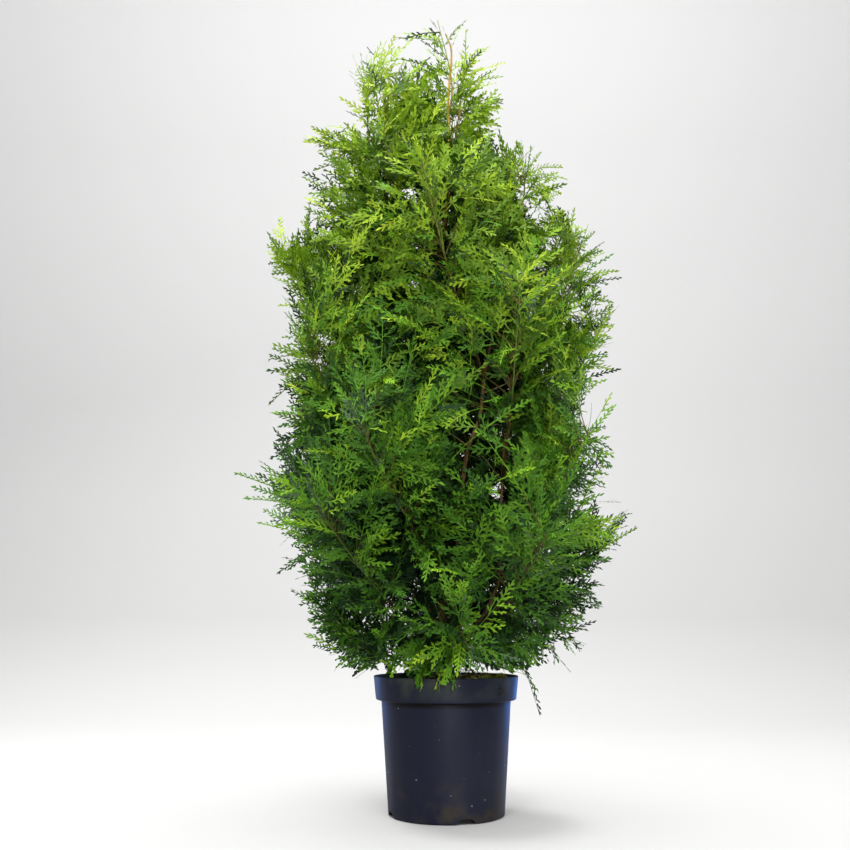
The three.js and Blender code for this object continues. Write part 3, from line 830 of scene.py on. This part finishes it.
# ---- materials
class Shader:
    """A material with helpers that add nodes to it."""

    def __init__(self, name, roughness=0.5, specular=None):
        self.material = bpy.data.materials.new(name)
        self.material.use_nodes = True
        self.tree = self.material.node_tree
        self.surface("Roughness", roughness)
        if specular is not None:
            self.surface("Specular IOR Level", specular)

    def feed(self, socket, value):
        """Links a socket to the output of a node, or sets its value."""
        if isinstance(value, bpy.types.NodeSocket):
            self.tree.links.new(value, socket)
        else:
            socket.default_value = value

    def surface(self, name, value):
        self.feed(self.tree.nodes["Principled BSDF"].inputs[name], value)

    def add(self, kind, inputs):
        node = self.tree.nodes.new(f"ShaderNode{kind}")
        for key, value in inputs.items():
            self.feed(node.inputs[key], value)
        return node

    def place(self):
        return self.add("TexCoord", {}).outputs["Object"]

    def noise(self, scale, detail=3, stretch=(1, 1, 1)):
        """Noise in the object's own coordinates, stretched along axes."""
        mapping = self.add("Mapping", {"Vector": self.place(), "Scale": stretch})
        inputs = {"Vector": mapping.outputs["Vector"], "Scale": scale, "Detail": detail}
        return self.add("TexNoise", inputs).outputs["Fac"]

    def ramp(self, source, stops):
        node = self.add("ValToRGB", {"Fac": source})
        elements = node.color_ramp.elements
        while len(elements) < len(stops):
            elements.new(0.5)
        for element, (position, colour) in zip(elements, stops):
            element.position = position
            element.color = (*colour, 1)
        return node.outputs["Color"]

    def mix(self, factor, a, b, blend="MIX"):
        node = self.add("Mix", {})
        node.data_type = "RGBA"
        node.blend_type = blend
        sockets = {socket.identifier: socket for socket in [*node.inputs, *node.outputs]}
        for key, value in (("Factor_Float", factor), ("A_Color", a), ("B_Color", b)):
            self.feed(sockets[key], (*value, 1) if isinstance(value, tuple) else value)
        return sockets["Result_Color"]

    def height(self, low, high, invert=False):
        """0 below `low` and 1 above `high` in millimetres, or the other way round."""
        up = self.add("SeparateXYZ", {"Vector": self.place()}).outputs["Z"]
        inputs = {"Value": up, "From Min": low * MM, "From Max": high * MM}
        inputs |= {"To Min": 1, "To Max": 0} if invert else {}
        return self.add("MapRange", inputs).outputs["Result"]

    def product(self, a, b):
        node = self.add("Math", {0: a, 1: b})
        node.operation = "MULTIPLY"
        return node.outputs["Value"]

    def bump(self, height, strength, distance):
        inputs = {"Height": height, "Strength": strength, "Distance": distance}
        self.surface("Normal", self.add("Bump", inputs).outputs["Normal"])


def grey(light):
    return (light, light, light)


def scaled(colour, factor):
    return tuple(min(1.0, c * factor) for c in colour)


def leaf_material(name, colour):
    """Waxy scale leaves: a base tone that shifts a little from branchlet to branchlet."""
    shader = Shader(name, 0.5, 0.12)
    stops = [(0.30, scaled(colour, 0.72)), (0.52, colour), (0.72, scaled(colour, 1.28))]
    shader.surface("Base Color", shader.ramp(shader.noise(90, 2), stops))
    shader.bump(shader.noise(850, 2), 0.5, 0.0006)
    return shader.material


def bark_material(name, low, high, between=None):
    """Stringy bark whose colour goes up the plant: (height, colour) at both ends and grey-brown strands."""
    shader = Shader(name, 0.78, 0.3)
    stops = [(0, low[1]), (1, high[1])]
    if between:
        stops.insert(1, ((between[0] - low[0]) / (high[0] - low[0]), between[1]))
    base = shader.ramp(shader.height(low[0], high[0]), stops)
    strands = shader.noise(260, 5, (1, 1, 0.12))
    dark = shader.ramp(strands, [(0.32, (0.30, 0.26, 0.24)), (0.62, grey(1))])
    shader.surface("Base Color", shader.mix(0.85, base, dark, "MULTIPLY"))
    shader.bump(strands, 0.7, 0.0012)
    return shader.material


def grain_material(name, grain, colours, roughness, relief=None, fibre=None):
    """Loose stuff: noise and its colours, and a relief of that noise or of a finer one."""
    shader = Shader(name, roughness)
    tint = shader.noise(*grain)
    shader.surface("Base Color", shader.ramp(tint, colours))
    if relief:
        shader.bump(shader.noise(*fibre) if fibre else tint, *relief)
    return shader.material


def moss_material(name, brightness):
    colours = [(0.35, (0.110, 0.155, 0.015)), (0.55, (0.37, 0.42, 0.036)), (0.72, (0.64, 0.66, 0.094))]
    colours = [(position, scaled(colour, brightness)) for position, colour in colours]
    return grain_material(name, (220, 4), colours, 0.95, (0.9, 0.002))


def plastic_material():
    """Black moulded plastic with a navy cast, scuffs, earth round the foot, a green film on the band and a
    painted shadow under the band.
    """
    shader = Shader("pot_plastic", specular=0.08)

    def spots(grain, low, high, light):
        return shader.ramp(shader.noise(*grain), [(low, grey(0)), (high, grey(light))])

    worn = spots((9, 5, (1, 1, 0.6)), 0.50, 0.80, 0.20)
    colour = shader.mix(worn, (0.0052, 0.0060, 0.0125), (0.040, 0.042, 0.054))
    earth = shader.product(spots((38, 6), 0.46, 0.66, 0.75), shader.height(4, 62, True))
    colour = shader.mix(earth, colour, (0.026, 0.021, 0.012))
    film = shader.product(spots((26, 5), 0.42, 0.64, 0.9), shader.height(158, 186))
    colour = shader.mix(film, colour, (0.030, 0.034, 0.024))
    # Painted shadow: a darker ring on the body just under the band, where the band shades it.
    groove_shadow = shader.product(shader.height(149, 153), shader.height(157, 158.5, True))
    shader.surface("Base Color", shader.mix(groove_shadow, colour, (0.0012, 0.0012, 0.0016)))
    streaks = shader.noise(60, 4, (1, 1, 0.07))
    shader.surface("Roughness", shader.ramp(streaks, [(0.3, grey(0.38)), (0.7, grey(0.50))]))
    shader.bump(shader.noise(700, 3), 0.25, 0.0003)
    return shader.material


# ---- foliage and twigs
MOST_FACES = 190000  # in one piece of foliage


def build_foliage():
    nodes = nodes_called("foliage_")
    for number, name in enumerate(TONE_NAMES):
        leaves, ribs = branchlets.only(branchlets.tone == number), fronds.only(fronds.tone == number)
        if len(leaves) == 0:
            continue
        points, faces = merged([blades(leaves), ribbons(ribs, 2, 2.1, 1.3)])
        material = leaf_material(f"leaf_{name}", TONES[name])
        shares = np.array_split(np.arange(len(faces)), math.ceil(len(faces) / MOST_FACES))
        for share, rows in enumerate(shares):
            used, corners = np.unique(faces[rows], return_inverse=True)
            title = f"foliage_{name}" + (f"_{share + 1}" if len(shares) > 1 else "")
            dress(mesh_piece(title, points[used], corners.reshape(-1, 3), material), "foliage", *nodes)


def build_twigs():
    bark = bark_material("twig_bark", (200, (0.070, 0.058, 0.020)), (1200, (0.27, 0.21, 0.04)))
    dress(mesh_piece("twigs", *tubes(shoots, 0.0, 0.30, 2, 5, 0.85, 0.62), bark, True), "bark")
    green = leaf_material("twig_green", TONES["fresh"])
    dress(mesh_piece("green_twigs", *tubes(shoots, 0.29, 1.0, 4, 4, 0.62, 0.32), green, True), "foliage")


# ---- limbs with the relief of the bark
def limb(line, first, last, steps, sides, radius_at, relief, seed):
    """A limb along a line as points and faces; relief is the bark's strands as a share of the radius."""
    shares = np.linspace(first, last, steps + 1)
    centres, forwards = line.at(shares), line.along(shares)
    across = unit(np.cross(forwards[0], [0.31, 0.95, 0.05]))
    points = []
    for share, centre, forward in zip(shares, centres, forwards):
        across = unit(across - forward * np.dot(across, forward))
        up = np.cross(forward, across)
        for side in range(sides):
            turn = TURN * side / sides
            where = Vector((math.cos(turn) * 2.2, math.sin(turn) * 2.2, centre[2] * 0.03 + seed))
            strand = noise.noise(where) + 0.5 * noise.noise(where * 2.7)
            knot = max(0.0, noise.noise(Vector((seed, centre[2] * 0.021, side * 0.2))) - 0.25)
            reach = radius_at(share) * (1 + relief * strand + 0.5 * knot)
            points.append(centre + (across * math.cos(turn) + up * math.sin(turn)) * reach)
    faces = (ring_faces(sides) + (np.arange(steps) * sides)[:, None, None]).reshape(-1, 4).tolist()
    tip = len(points)
    points.append(centres[-1] + forwards[-1] * radius_at(last))
    faces += [(tip - sides + i, tip - sides + (i + 1) % sides, tip) for i in range(sides)]
    return points, faces


def limb_piece(name, parts, material):
    """Several limbs as one piece."""
    points, faces = [], []
    for limb_points, limb_faces in parts:
        faces += [[corner + len(points) for corner in face] for face in limb_faces]
        points += [tuple(point * MM) for point in limb_points]
    return listed_piece(name, points, faces, material, True)


def stem_radius(stem, share):
    return lerp(stem.foot, stem.tip, share**0.8) + stem.flare * math.exp(-share * 60)


def build_limbs():
    old, middle, young = (0.200, 0.115, 0.060), (0.50, 0.27, 0.125), (0.66, 0.42, 0.05)
    bark = bark_material("stem_bark", (230, old), (920, young), (480, middle))
    for number, (name, stem) in enumerate(STEMS.items()):
        steps = int((stem.line[-1][2] - stem.line[0][2]) / 5)
        slim = 1 if name == "trunk" else 0.8
        whole = lambda s: slim * stem_radius(stem, s)
        made = limb(stem_lines[name], 0, 1, steps, 18, whole, 0.17, 10 * number)
        dress(limb_piece(f"{name}_bark", [made], bark), "bark", name)
    inner, outer = [], []
    for number, branch in enumerate(branches):
        foot, seed = BOUGH_FOOT * (1 if branch.bare else 0.62), 100 + 7 * number
        steps = int(branch.line.span() / 18)
        whole = lambda s: lerp(foot, 0.5, s**0.5)
        inner.append(limb(branch.line, 0, 0.40, steps, 8, whole, 0.12, seed))
        outer.append(limb(branch.line, 0.39, branch.last, steps, 6, whole, 0.06, seed))
    # Partly painted shade: the inner boughs' bark is made very dark low down so that it looks like shadow
    # inside the crown; it lightens up the plant like younger bark.
    bark = bark_material("bough_bark_and_shade", (250, (0.070, 0.036, 0.018)), (1100, (0.42, 0.28, 0.05)))
    dress(limb_piece("boughs_bark", inner, bark), "bark", *nodes_called("bough_"))
    bark = bark_material("young_bark", (250, (0.070, 0.140, 0.020)), (1150, (0.30, 0.36, 0.05)))
    dress(limb_piece("boughs_young", outer, bark), "bark")


def build_side_twigs():
    whole = lambda s: lerp(1.25, 0.6, s)
    parts = [limb(line, 0, 1, 14, 6, whole, 0.06, 300 + 5 * i) for i, line in enumerate(side_twigs)]
    bark = bark_material("side_twig_bark", (400, (0.60, 0.48, 0.22)), (700, (0.64, 0.54, 0.26)))
    dress(limb_piece("side_twigs", parts, bark), "bark")


# ---- container
POT_SIDES = 144


def arc(centre, radius, first, last, steps):
    turns = np.radians(np.linspace(first, last, steps + 1))
    return [(centre[0] + radius * math.cos(t), centre[1] + radius * math.sin(t)) for t in turns]


def turned_object(name, profile, sides):
    """A closed solid of revolution; the profile runs from the axis to the axis."""
    made = bmesh.new()
    rings = []
    for radius, z in profile:
        if radius < 1e-6:
            rings.append([made.verts.new((0, 0, z * MM))])
            continue
        turns = [TURN * i / sides for i in range(sides)]
        spots = [(radius * math.cos(t) * MM, radius * math.sin(t) * MM, z * MM) for t in turns]
        rings.append([made.verts.new(spot) for spot in spots])
    for low, high in zip(rings, rings[1:]):
        for i in range(sides):
            j = (i + 1) % sides
            corners = [low[i % len(low)], low[j % len(low)], high[j % len(high)], high[i % len(high)]]
            made.faces.new(list(dict.fromkeys(corners)))
    made.normal_update()
    mesh = bpy.data.meshes.new(name)
    made.to_mesh(mesh)
    made.free()
    return linked(name, mesh)


def drain_block(name, azimuth, grow):
    """The recess at one drain: a trapezoid across the container's lower edge."""
    foot, top, high = DRAIN.foot / 2 + grow, DRAIN.top / 2 + grow, DRAIN.height + grow
    near, far = POT.base - DRAIN.depth - grow, POT.base + 12
    outline = [(-foot, -5), (foot, -5), (foot, 0), (top, high), (-top, high), (-foot, 0)]
    corners = [(x * MM, y * MM, z * MM) for x in (near, far) for y, z in outline]
    faces = [tuple(range(5, -1, -1)), tuple(range(6, 12)), *ring_faces(6).tolist()]
    piece = listed_piece(name, corners, faces)
    piece.rotation_euler[2] = math.radians(azimuth)
    return piece


def cut(target, *tools):
    """Cuts the tools out of the target, applies that and removes the tools."""
    for tool in tools:
        modifier = target.modifiers.new("cut", "BOOLEAN")
        modifier.operation = "DIFFERENCE"
        modifier.solver = "EXACT"
        modifier.object = tool
    bpy.context.view_layer.update()
    graph = bpy.context.evaluated_depsgraph_get()
    mesh = bpy.data.meshes.new_from_object(target.evaluated_get(graph))
    target.modifiers.clear()
    target.data = mesh
    for tool in tools:
        bpy.data.objects.remove(tool)


def build_pot():
    p, foot = POT, POT.height - POT.band
    r, lip = p.round, 1.1
    outer = [(0, 0), (p.base - r - 2, 0), *arc((p.base - r, r), r, -90, -4, 6)]
    outer += [(lerp(p.base, p.body_top, s), lerp(r, foot - 2, s)) for s in (0.35, 0.7, 0.985)]
    outer += arc((p.body_top + 1.6, foot - 1.6), 1.6, 180, 90, 4)
    outer += arc((p.band_foot - 1.5, foot + 1.5), 1.5, -90, 0, 5)
    outer += [(lerp(p.band_foot, p.rim, s), lerp(foot, p.height, s)) for s in (0.3, 0.6, 0.9)]
    outer += arc((p.rim - lip, p.height - lip), lip, 0, 90, 5)
    outer += [(0, p.height)]
    inner = [(0, p.floor), (p.base - r - p.wall, p.floor), (p.base - p.wall, p.floor + r)]
    inner += [(p.body_top - p.wall, foot + 1), (p.band_foot - p.wall, foot + 3)]
    inner += [(p.rim - p.wall - 0.1, p.height - 1.2), (p.rim - p.wall + 0.9, p.height + 0.05)]
    inner += [(p.rim - p.wall + 0.9, p.height + 5), (0, p.height + 5)]
    shell, hollow = turned_object("pot_shell", outer, POT_SIDES), turned_object("hollow", inner, POT_SIDES)
    azimuths = [DRAIN.first + 360 * i / DRAIN.count for i in range(DRAIN.count)]
    cut(shell, *[drain_block(f"drain_{i}", azimuth, 0) for i, azimuth in enumerate(azimuths)])
    cut(hollow, *[drain_block(f"drain_wall_{i}", azimuth, POT.wall) for i, azimuth in enumerate(azimuths)])
    cut(shell, hollow)
    shell.data.materials.clear()
    shell.data.materials.append(plastic_material())
    shell.data.shade_smooth()
    shell.data.set_sharp_from_angle(angle=math.radians(38))
    dress(shell, "black_plastic", "pot")


def wall_radius(height):
    """The container's radius at a height: its body, and its band above that."""
    foot = POT.height - POT.band
    if height < foot:
        return lerp(POT.base, POT.body_top, height / foot)
    return lerp(POT.band_foot, POT.rim, (height - foot) / POT.band)


# ---- compost, chips and moss
LITTER = SimpleNamespace(chips=620, straws=240)
TUFT = SimpleNamespace(leaves=150, azimuth=-43, spread=4.2 / 104, height=172, rise=4.5)


def soil_height(x, y):
    def clod(size, depth):
        return noise.noise(Vector((x * size, y * size, depth)))

    far = math.hypot(x, y)
    share = (far - SOIL.crown_radius) / (SOIL.edge_radius - SOIL.crown_radius)
    fall = lerp(SOIL.crown, SOIL.edge, min(1, max(0, share)))
    clods = clod(0.05, 3) * 2.4 + clod(0.16, 9) * 1.7
    return fall + clods * min(1, max(0.15, (far - 10) / 14)) + clod(0.5, 1) * 0.6


def build_soil():
    sides, rings, edge, base = 120, 40, 100.6, 3.2
    turns = [TURN * i / sides for i in range(sides)]
    points = [(0, 0, soil_height(0, 0))]
    for ring in range(rings):
        radius = edge * (ring + 1) / rings
        spots = [(radius * math.cos(t), radius * math.sin(t)) for t in turns]
        points += [(x, y, soil_height(x, y)) for x, y in spots]
    walls = ((SOIL.edge_radius, 160), (90.6, 156), (79.5, 14), (64, 13.4), (64, base))
    for radius, z in walls:
        points += [(radius * math.cos(t), radius * math.sin(t), z) for t in turns]
    faces = [(0, 1 + i, 1 + (i + 1) % sides) for i in range(sides)]
    for ring in range(rings + len(walls) - 1):
        for low, right, up, high in (ring_faces(sides) + (1 + ring * sides)).tolist():
            faces += [(low, high, up), (low, up, right)]
    last, centre = len(points) - sides, len(points)
    points.append((0, 0, base))
    faces += [(last + (i + 1) % sides, last + i, centre) for i in range(sides)]
    colours = [(0.30, (0.010, 0.007, 0.005)), (0.55, (0.035, 0.022, 0.013)), (0.78, (0.090, 0.058, 0.034))]
    material = grain_material("compost", (160, 6), colours, 0.93, (1.0, 0.003))
    dress(mesh_piece("compost", points, faces, material, True), "compost", "soil")


def scattered(count, inner, outer):
    radius = np.sqrt(rng.uniform(inner**2, outer**2, count))
    turn = rng.uniform(0, TURN, count)
    return radius * np.cos(turn), radius * np.sin(turn)


def turned(a, b, turn):
    return a * math.cos(turn) - b * math.sin(turn), a * math.sin(turn) + b * math.cos(turn)


def build_chips():
    """Bark chips and crumbs that lie on the compost."""
    corners = np.array([(x, y, z) for x in (-1, 1) for y in (-1, 1) for z in (-1, 1)], float)
    quads = np.array([(0, 1, 3, 2), (4, 6, 7, 5), (0, 4, 5, 1), (2, 3, 7, 6), (0, 2, 6, 4), (1, 5, 7, 3)])
    parts, spans = [], ((1, 2.2), (0.5, 1), (0.25, 0.6))
    for x0, y0 in zip(*scattered(LITTER.chips, 15, 97)):
        size = rng.uniform(0.8, 2.6) * np.array([rng.uniform(*span) for span in spans])
        turn, tilt = rng.uniform(0, math.pi), rng.normal(0, 0.25)
        shape = corners * size * rng.uniform(0.6, 1.1, (8, 1)) + rng.normal(0, 0.12, (8, 3))
        x, z = turned(shape[:, 0], shape[:, 2], tilt)
        x, y = turned(x, shape[:, 1], turn)
        parts.append((np.stack([x, y, z], 1) + [x0, y0, soil_height(x0, y0) + size[2] * 0.6], quads))
    colours = [(0.35, (0.028, 0.017, 0.010)), (0.55, (0.095, 0.052, 0.026)), (0.70, (0.22, 0.135, 0.070))]
    material = grain_material("chips", (75, 2), colours, 0.9, (0.6, 0.0008), (600, 3))
    dress(mesh_piece("compost_chips", *merged(parts), material), "compost")


def leafy_piece(name, points, brightness, slot):
    """Moss from the points of its leaves, three for each."""
    faces = np.arange(len(points)).reshape(-1, 3)
    dress(mesh_piece(name, points, faces, moss_material(name, brightness)), slot)


MOSS_PATCHES = [  # across, back, radius and how high the cushion stands
    (38, -72, 17, 13), (57, -64, 16, 14), (16, -86, 12, 12), (76, -42, 17, 14), (84, -8, 15, 14),
    (80, 26, 16, 14), (62, 58, 17, 13), (34, 84, 14, 11), (-62, 40, 12, 3), (-20, 82, 14, 6),
    (58, 4, 14, 12), (-84, -30, 11, 3),
]


def build_moss():
    """Low moss cushions, most of them at the right of the compost, covered with short pointed leaves."""
    points = []
    for x0, y0, radius, high in MOSS_PATCHES:
        for _ in range(int(radius * radius * 1.8)):
            x, y = rng.normal(0, radius * 0.42, 2)
            if math.hypot(x0 + x, y0 + y) > 98 or math.hypot(x, y) > radius:
                continue
            dome = high * (1 - (math.hypot(x, y) / radius) ** 2)
            foot = np.array([x0 + x, y0 + y, soil_height(x0 + x, y0 + y) + dome - 0.6])
            turn, lean = rng.uniform(0, TURN), rng.uniform(0.2, 1.1)
            out, across = heading(turn) * lean + UP, np.cross(UP, heading(turn)) * 0.45
            points += [foot - across, foot + across, foot + out * rng.uniform(1.4, 2.8)]
    leafy_piece("moss", points, 1.0, "compost")


def build_band_moss():
    """A dark tuft of moss that grows on the container's band at the front right."""
    points = []
    for _ in range(TUFT.leaves):
        out = heading(math.radians(TUFT.azimuth) + rng.normal(0, TUFT.spread))
        z = np.clip(TUFT.height + rng.normal(0, TUFT.rise), 160, 184)
        foot = out * (wall_radius(z) - 0.3) + UP * z
        lean = unit(out + np.cross(UP, out) * rng.normal(0, 0.6) + UP * rng.uniform(-0.7, 0.5))
        across = unit(np.cross(lean, out)) * 0.45
        points += [foot - across, foot + across, foot + lean * rng.uniform(1.2, 2.6)]
    leafy_piece("band_moss", points, 0.13, "black_plastic")


def build_straws():
    """Dead twigs and leaves that lie on the compost, as thin bent strips."""
    points, faces = [], []
    for _ in range(LITTER.straws):
        (x,), (y,) = scattered(1, 20, 92)
        turn, length, wide = rng.uniform(0, math.pi), rng.uniform(6, 20), rng.uniform(0.3, 0.8)
        side = (np.cross(UP, heading(turn)) + 0.3 * UP) * wide
        first = len(points)
        for share in (-0.5, 0, 0.5):
            spot = np.array([x, y, 0]) + heading(turn) * length * share
            spot *= min(1, 97 / max(1, np.linalg.norm(spot[:2])))
            spot[2] = soil_height(spot[0], spot[1]) + rng.uniform(0.8, 5.5) + 9 * (x > 12)
            points += [spot - side, spot + side]
        for foot in (first, first + 2):
            faces += [(foot, foot + 1, foot + 3), (foot, foot + 3, foot + 2)]
    colours = [(0.35, (0.15, 0.11, 0.05)), (0.52, (0.46, 0.39, 0.18)), (0.68, (0.80, 0.73, 0.41))]
    dress(mesh_piece("straws", points, faces, grain_material("straws", (130, 3), colours, 0.85)), "compost")


FLECKS = [  # azimuth, height and radius of dried splashes on the container
    (-135, 149, 1.3), (-80, 181, 1.0), (-118, 57, 0.9), (-66, 24, 0.8), (-52, 30, 0.6), (-96, 110, 0.5),
    (-100, 128, 0.4), (-74, 60, 0.4), (-60, 92, 0.35), (-124, 100, 0.4), (-86, 38, 0.45), (-48, 66, 0.4),
    (-20, 70, 0.8), (40, 120, 1.0), (95, 40, 0.9), (150, 95, 1.1), (185, 172, 1.0), (-160, 60, 0.7),
]


def build_flecks():
    """Chalky dried splashes."""
    points, faces, sides = [], [], 9
    for azimuth, height, radius in FLECKS:
        out, wall = heading(math.radians(azimuth)), wall_radius(height)
        first = len(points)
        points.append(out * (wall + 0.35) + UP * height)
        for turn in np.arange(sides) * TURN / sides:
            spot = np.cross(UP, out) * math.cos(turn) + UP * math.sin(turn) * 1.3
            points.append(out * (wall - 0.1) + UP * height + spot * radius * rng.uniform(0.6, 1.15))
        faces += [(first, first + 1 + i, first + 1 + (i + 1) % sides) for i in range(sides)]
    colours = [(0.35, (0.16, 0.17, 0.19)), (0.65, (0.48, 0.50, 0.54))]
    material = grain_material("flecks", (900, 2), colours, 0.9)
    dress(mesh_piece("pot_flecks", points, faces, material), "black_plastic")


# ---- stage: floor, light and camera
PAPER_RISE = [  # height up the sweep in metres, and how light the paper is painted there: painted light and shade, darkest low on the curve and lighter up the wall
    (0, 0.63), (0.04, 0.627), (0.09, 0.62), (0.15, 0.605), (0.22, 0.596), (0.30, 0.58), (0.45, 0.606),
    (0.84, 0.667), (1.4, 0.718), (2.0, 0.803), (2.6, 0.872), (3.2, 0.93), (3.9, 1.0),
]
MIDDLE = (0, 0, 0.6)
LIGHTS = {  # name, place, target, size, power and colour of each
    "plant": [
        ("key", (-0.9, -2.1, 3.0), MIDDLE, (1.6, 1.6), 80, (1.0, 0.99, 0.96)),
        ("fill", (2.0, -2.0, 1.9), MIDDLE, (1.8, 1.8), 31, (1.0, 1.0, 1.0)),
        ("overhead", (-0.35, -0.45, 3.2), (0, 0, 0.3), (1.2, 1.2), 52, (1.0, 0.99, 0.96)),
        ("left_sky", (-2.3, 0.4, 1.2), MIDDLE, (1.2, 2.0), 9, (0.60, 0.80, 1.0)),
        ("right_sky", (2.3, 0.6, 1.2), MIDDLE, (1.2, 2.0), 9, (0.60, 0.80, 1.0)),
    ],
    # The same lights as they fall on the paper, where the container alone casts its shadow.
    "paper": [
        ("paper_key", (-0.2, -2.1, 3.0), MIDDLE, (1.6, 1.6), 62, (1.0, 0.99, 0.98)),
        ("paper_fill", (1.2, -2.0, 1.9), MIDDLE, (1.8, 1.8), 20, (1.0, 1.0, 1.0)),
        ("paper_overhead", (0, 0.1, 3.0), (0, 0, 0), (2.4, 2.4), 42, (1.0, 1.0, 0.99)),
        ("paper_back", (-0.8, 0.8, 2.5), (0, 0, 0), (0.8, 0.8), 32, (1.0, 1.0, 0.99)),
        ("backdrop_light", (0, 1.0, 3.7), (0, 3.4, 2.4), (3.5, 0.8), 26, (1, 1, 1)),
    ],
    # Soft lights that fall on the container alone: a blue one behind each side and a pale strip in front.
    "container": [
        ("left_rim", (-0.85, 0.85, 0.20), (0, 0, 0.1), (0.6, 0.4), 3.2, (0.0, 0.20, 1.0)),
        ("right_rim", (0.80, 0.90, 0.20), (0, 0, 0.1), (0.6, 0.4), 6.5, (0.0, 0.22, 1.0)),
        ("pot_strip", (0.16, -1.9, 0.5), (0, 0, 0.12), (0.16, 0.9), 46.0, (0.92, 0.95, 1.0)),
    ],
}


def build_stage():
    shader = Shader("studio_paper", 0.9, 0.1)
    # Painted light and shade: the paper's colour follows PAPER_RISE up the sweep instead of being even.
    stops = [(height / 4, grey(light * 0.94)) for height, light in PAPER_RISE]
    shader.surface("Base Color", shader.ramp(shader.height(0, 4000), stops))
    radius, bend = 2.2, 1.2
    sweep = [(-4.0, 0.0), (bend, 0.0)]
    for turn in np.linspace(0.05, math.pi / 2, 30):
        sweep.append((bend + radius * math.sin(turn), radius - radius * math.cos(turn)))
    sweep.append((bend + radius, 6.0))
    points = [(x, y, z) for y, z in sweep for x in (-6.0, 6.0)]
    faces = [(2 * i, 2 * i + 1, 2 * i + 3, 2 * i + 2) for i in range(len(sweep) - 1)]
    listed_piece("backdrop", points, faces, shader.material, True)


def area_light(name, place, target, size, power, colour):
    data = bpy.data.lights.new(name, "AREA")
    data.shape = "RECTANGLE"
    data.size, data.size_y = size
    data.energy = power
    data.color = colour
    lamp = bpy.data.objects.new(name, data)
    lamp.location = place
    lamp.rotation_euler = (Vector(target) - Vector(place)).to_track_quat("-Z", "Y").to_euler()
    lamp.visible_camera = False
    bpy.context.scene.collection.objects.link(lamp)
    return lamp


def build_light():
    """The lights, each linked to what it falls on, and the even light all round."""
    groups = {name: bpy.data.collections.new(name) for name in LIGHTS}
    for piece in bpy.data.objects:
        if piece.type == "MESH":
            groups["paper" if piece.name == "backdrop" else "plant"].objects.link(piece)
    groups["container"].objects.link(bpy.data.objects["pot_shell"])
    for name, rows in LIGHTS.items():
        for row in rows:
            linking = area_light(*row).light_linking
            linking.receiver_collection = groups[name]
            if name == "paper":
                linking.blocker_collection = groups["container"]
    bpy.data.lights["pot_strip"].diffuse_factor = 0.1
    world = bpy.data.worlds.new("studio")
    world.use_nodes = True
    background = world.node_tree.nodes["Background"]
    background.inputs["Color"].default_value = (1.0, 1.0, 1.0, 1)
    background.inputs["Strength"].default_value = 0.55
    bpy.context.scene.world = world


def build_camera():
    """The camera stands low in front of the plant and looks up at its middle."""
    data = bpy.data.cameras.new("camera")
    data.sensor_width = 36
    focal_pixels, frame_pixels = 950, 850
    data.lens = focal_pixels / frame_pixels * data.sensor_width
    camera = bpy.data.objects.new("camera", data)
    tilt, pan = 12.06, 1.22
    camera.location = EYE * MM
    camera.rotation_euler = (math.radians(90 + tilt), 0, math.radians(pan))
    bpy.context.scene.collection.objects.link(camera)
    bpy.context.scene.camera = camera
    bpy.context.scene.view_settings.view_transform = "Standard"


build_foliage()
build_twigs()
build_limbs()
build_side_twigs()
build_pot()
build_soil()
build_chips()
build_moss()
build_band_moss()
build_straws()
build_flecks()
build_stage()
build_light()
build_camera()
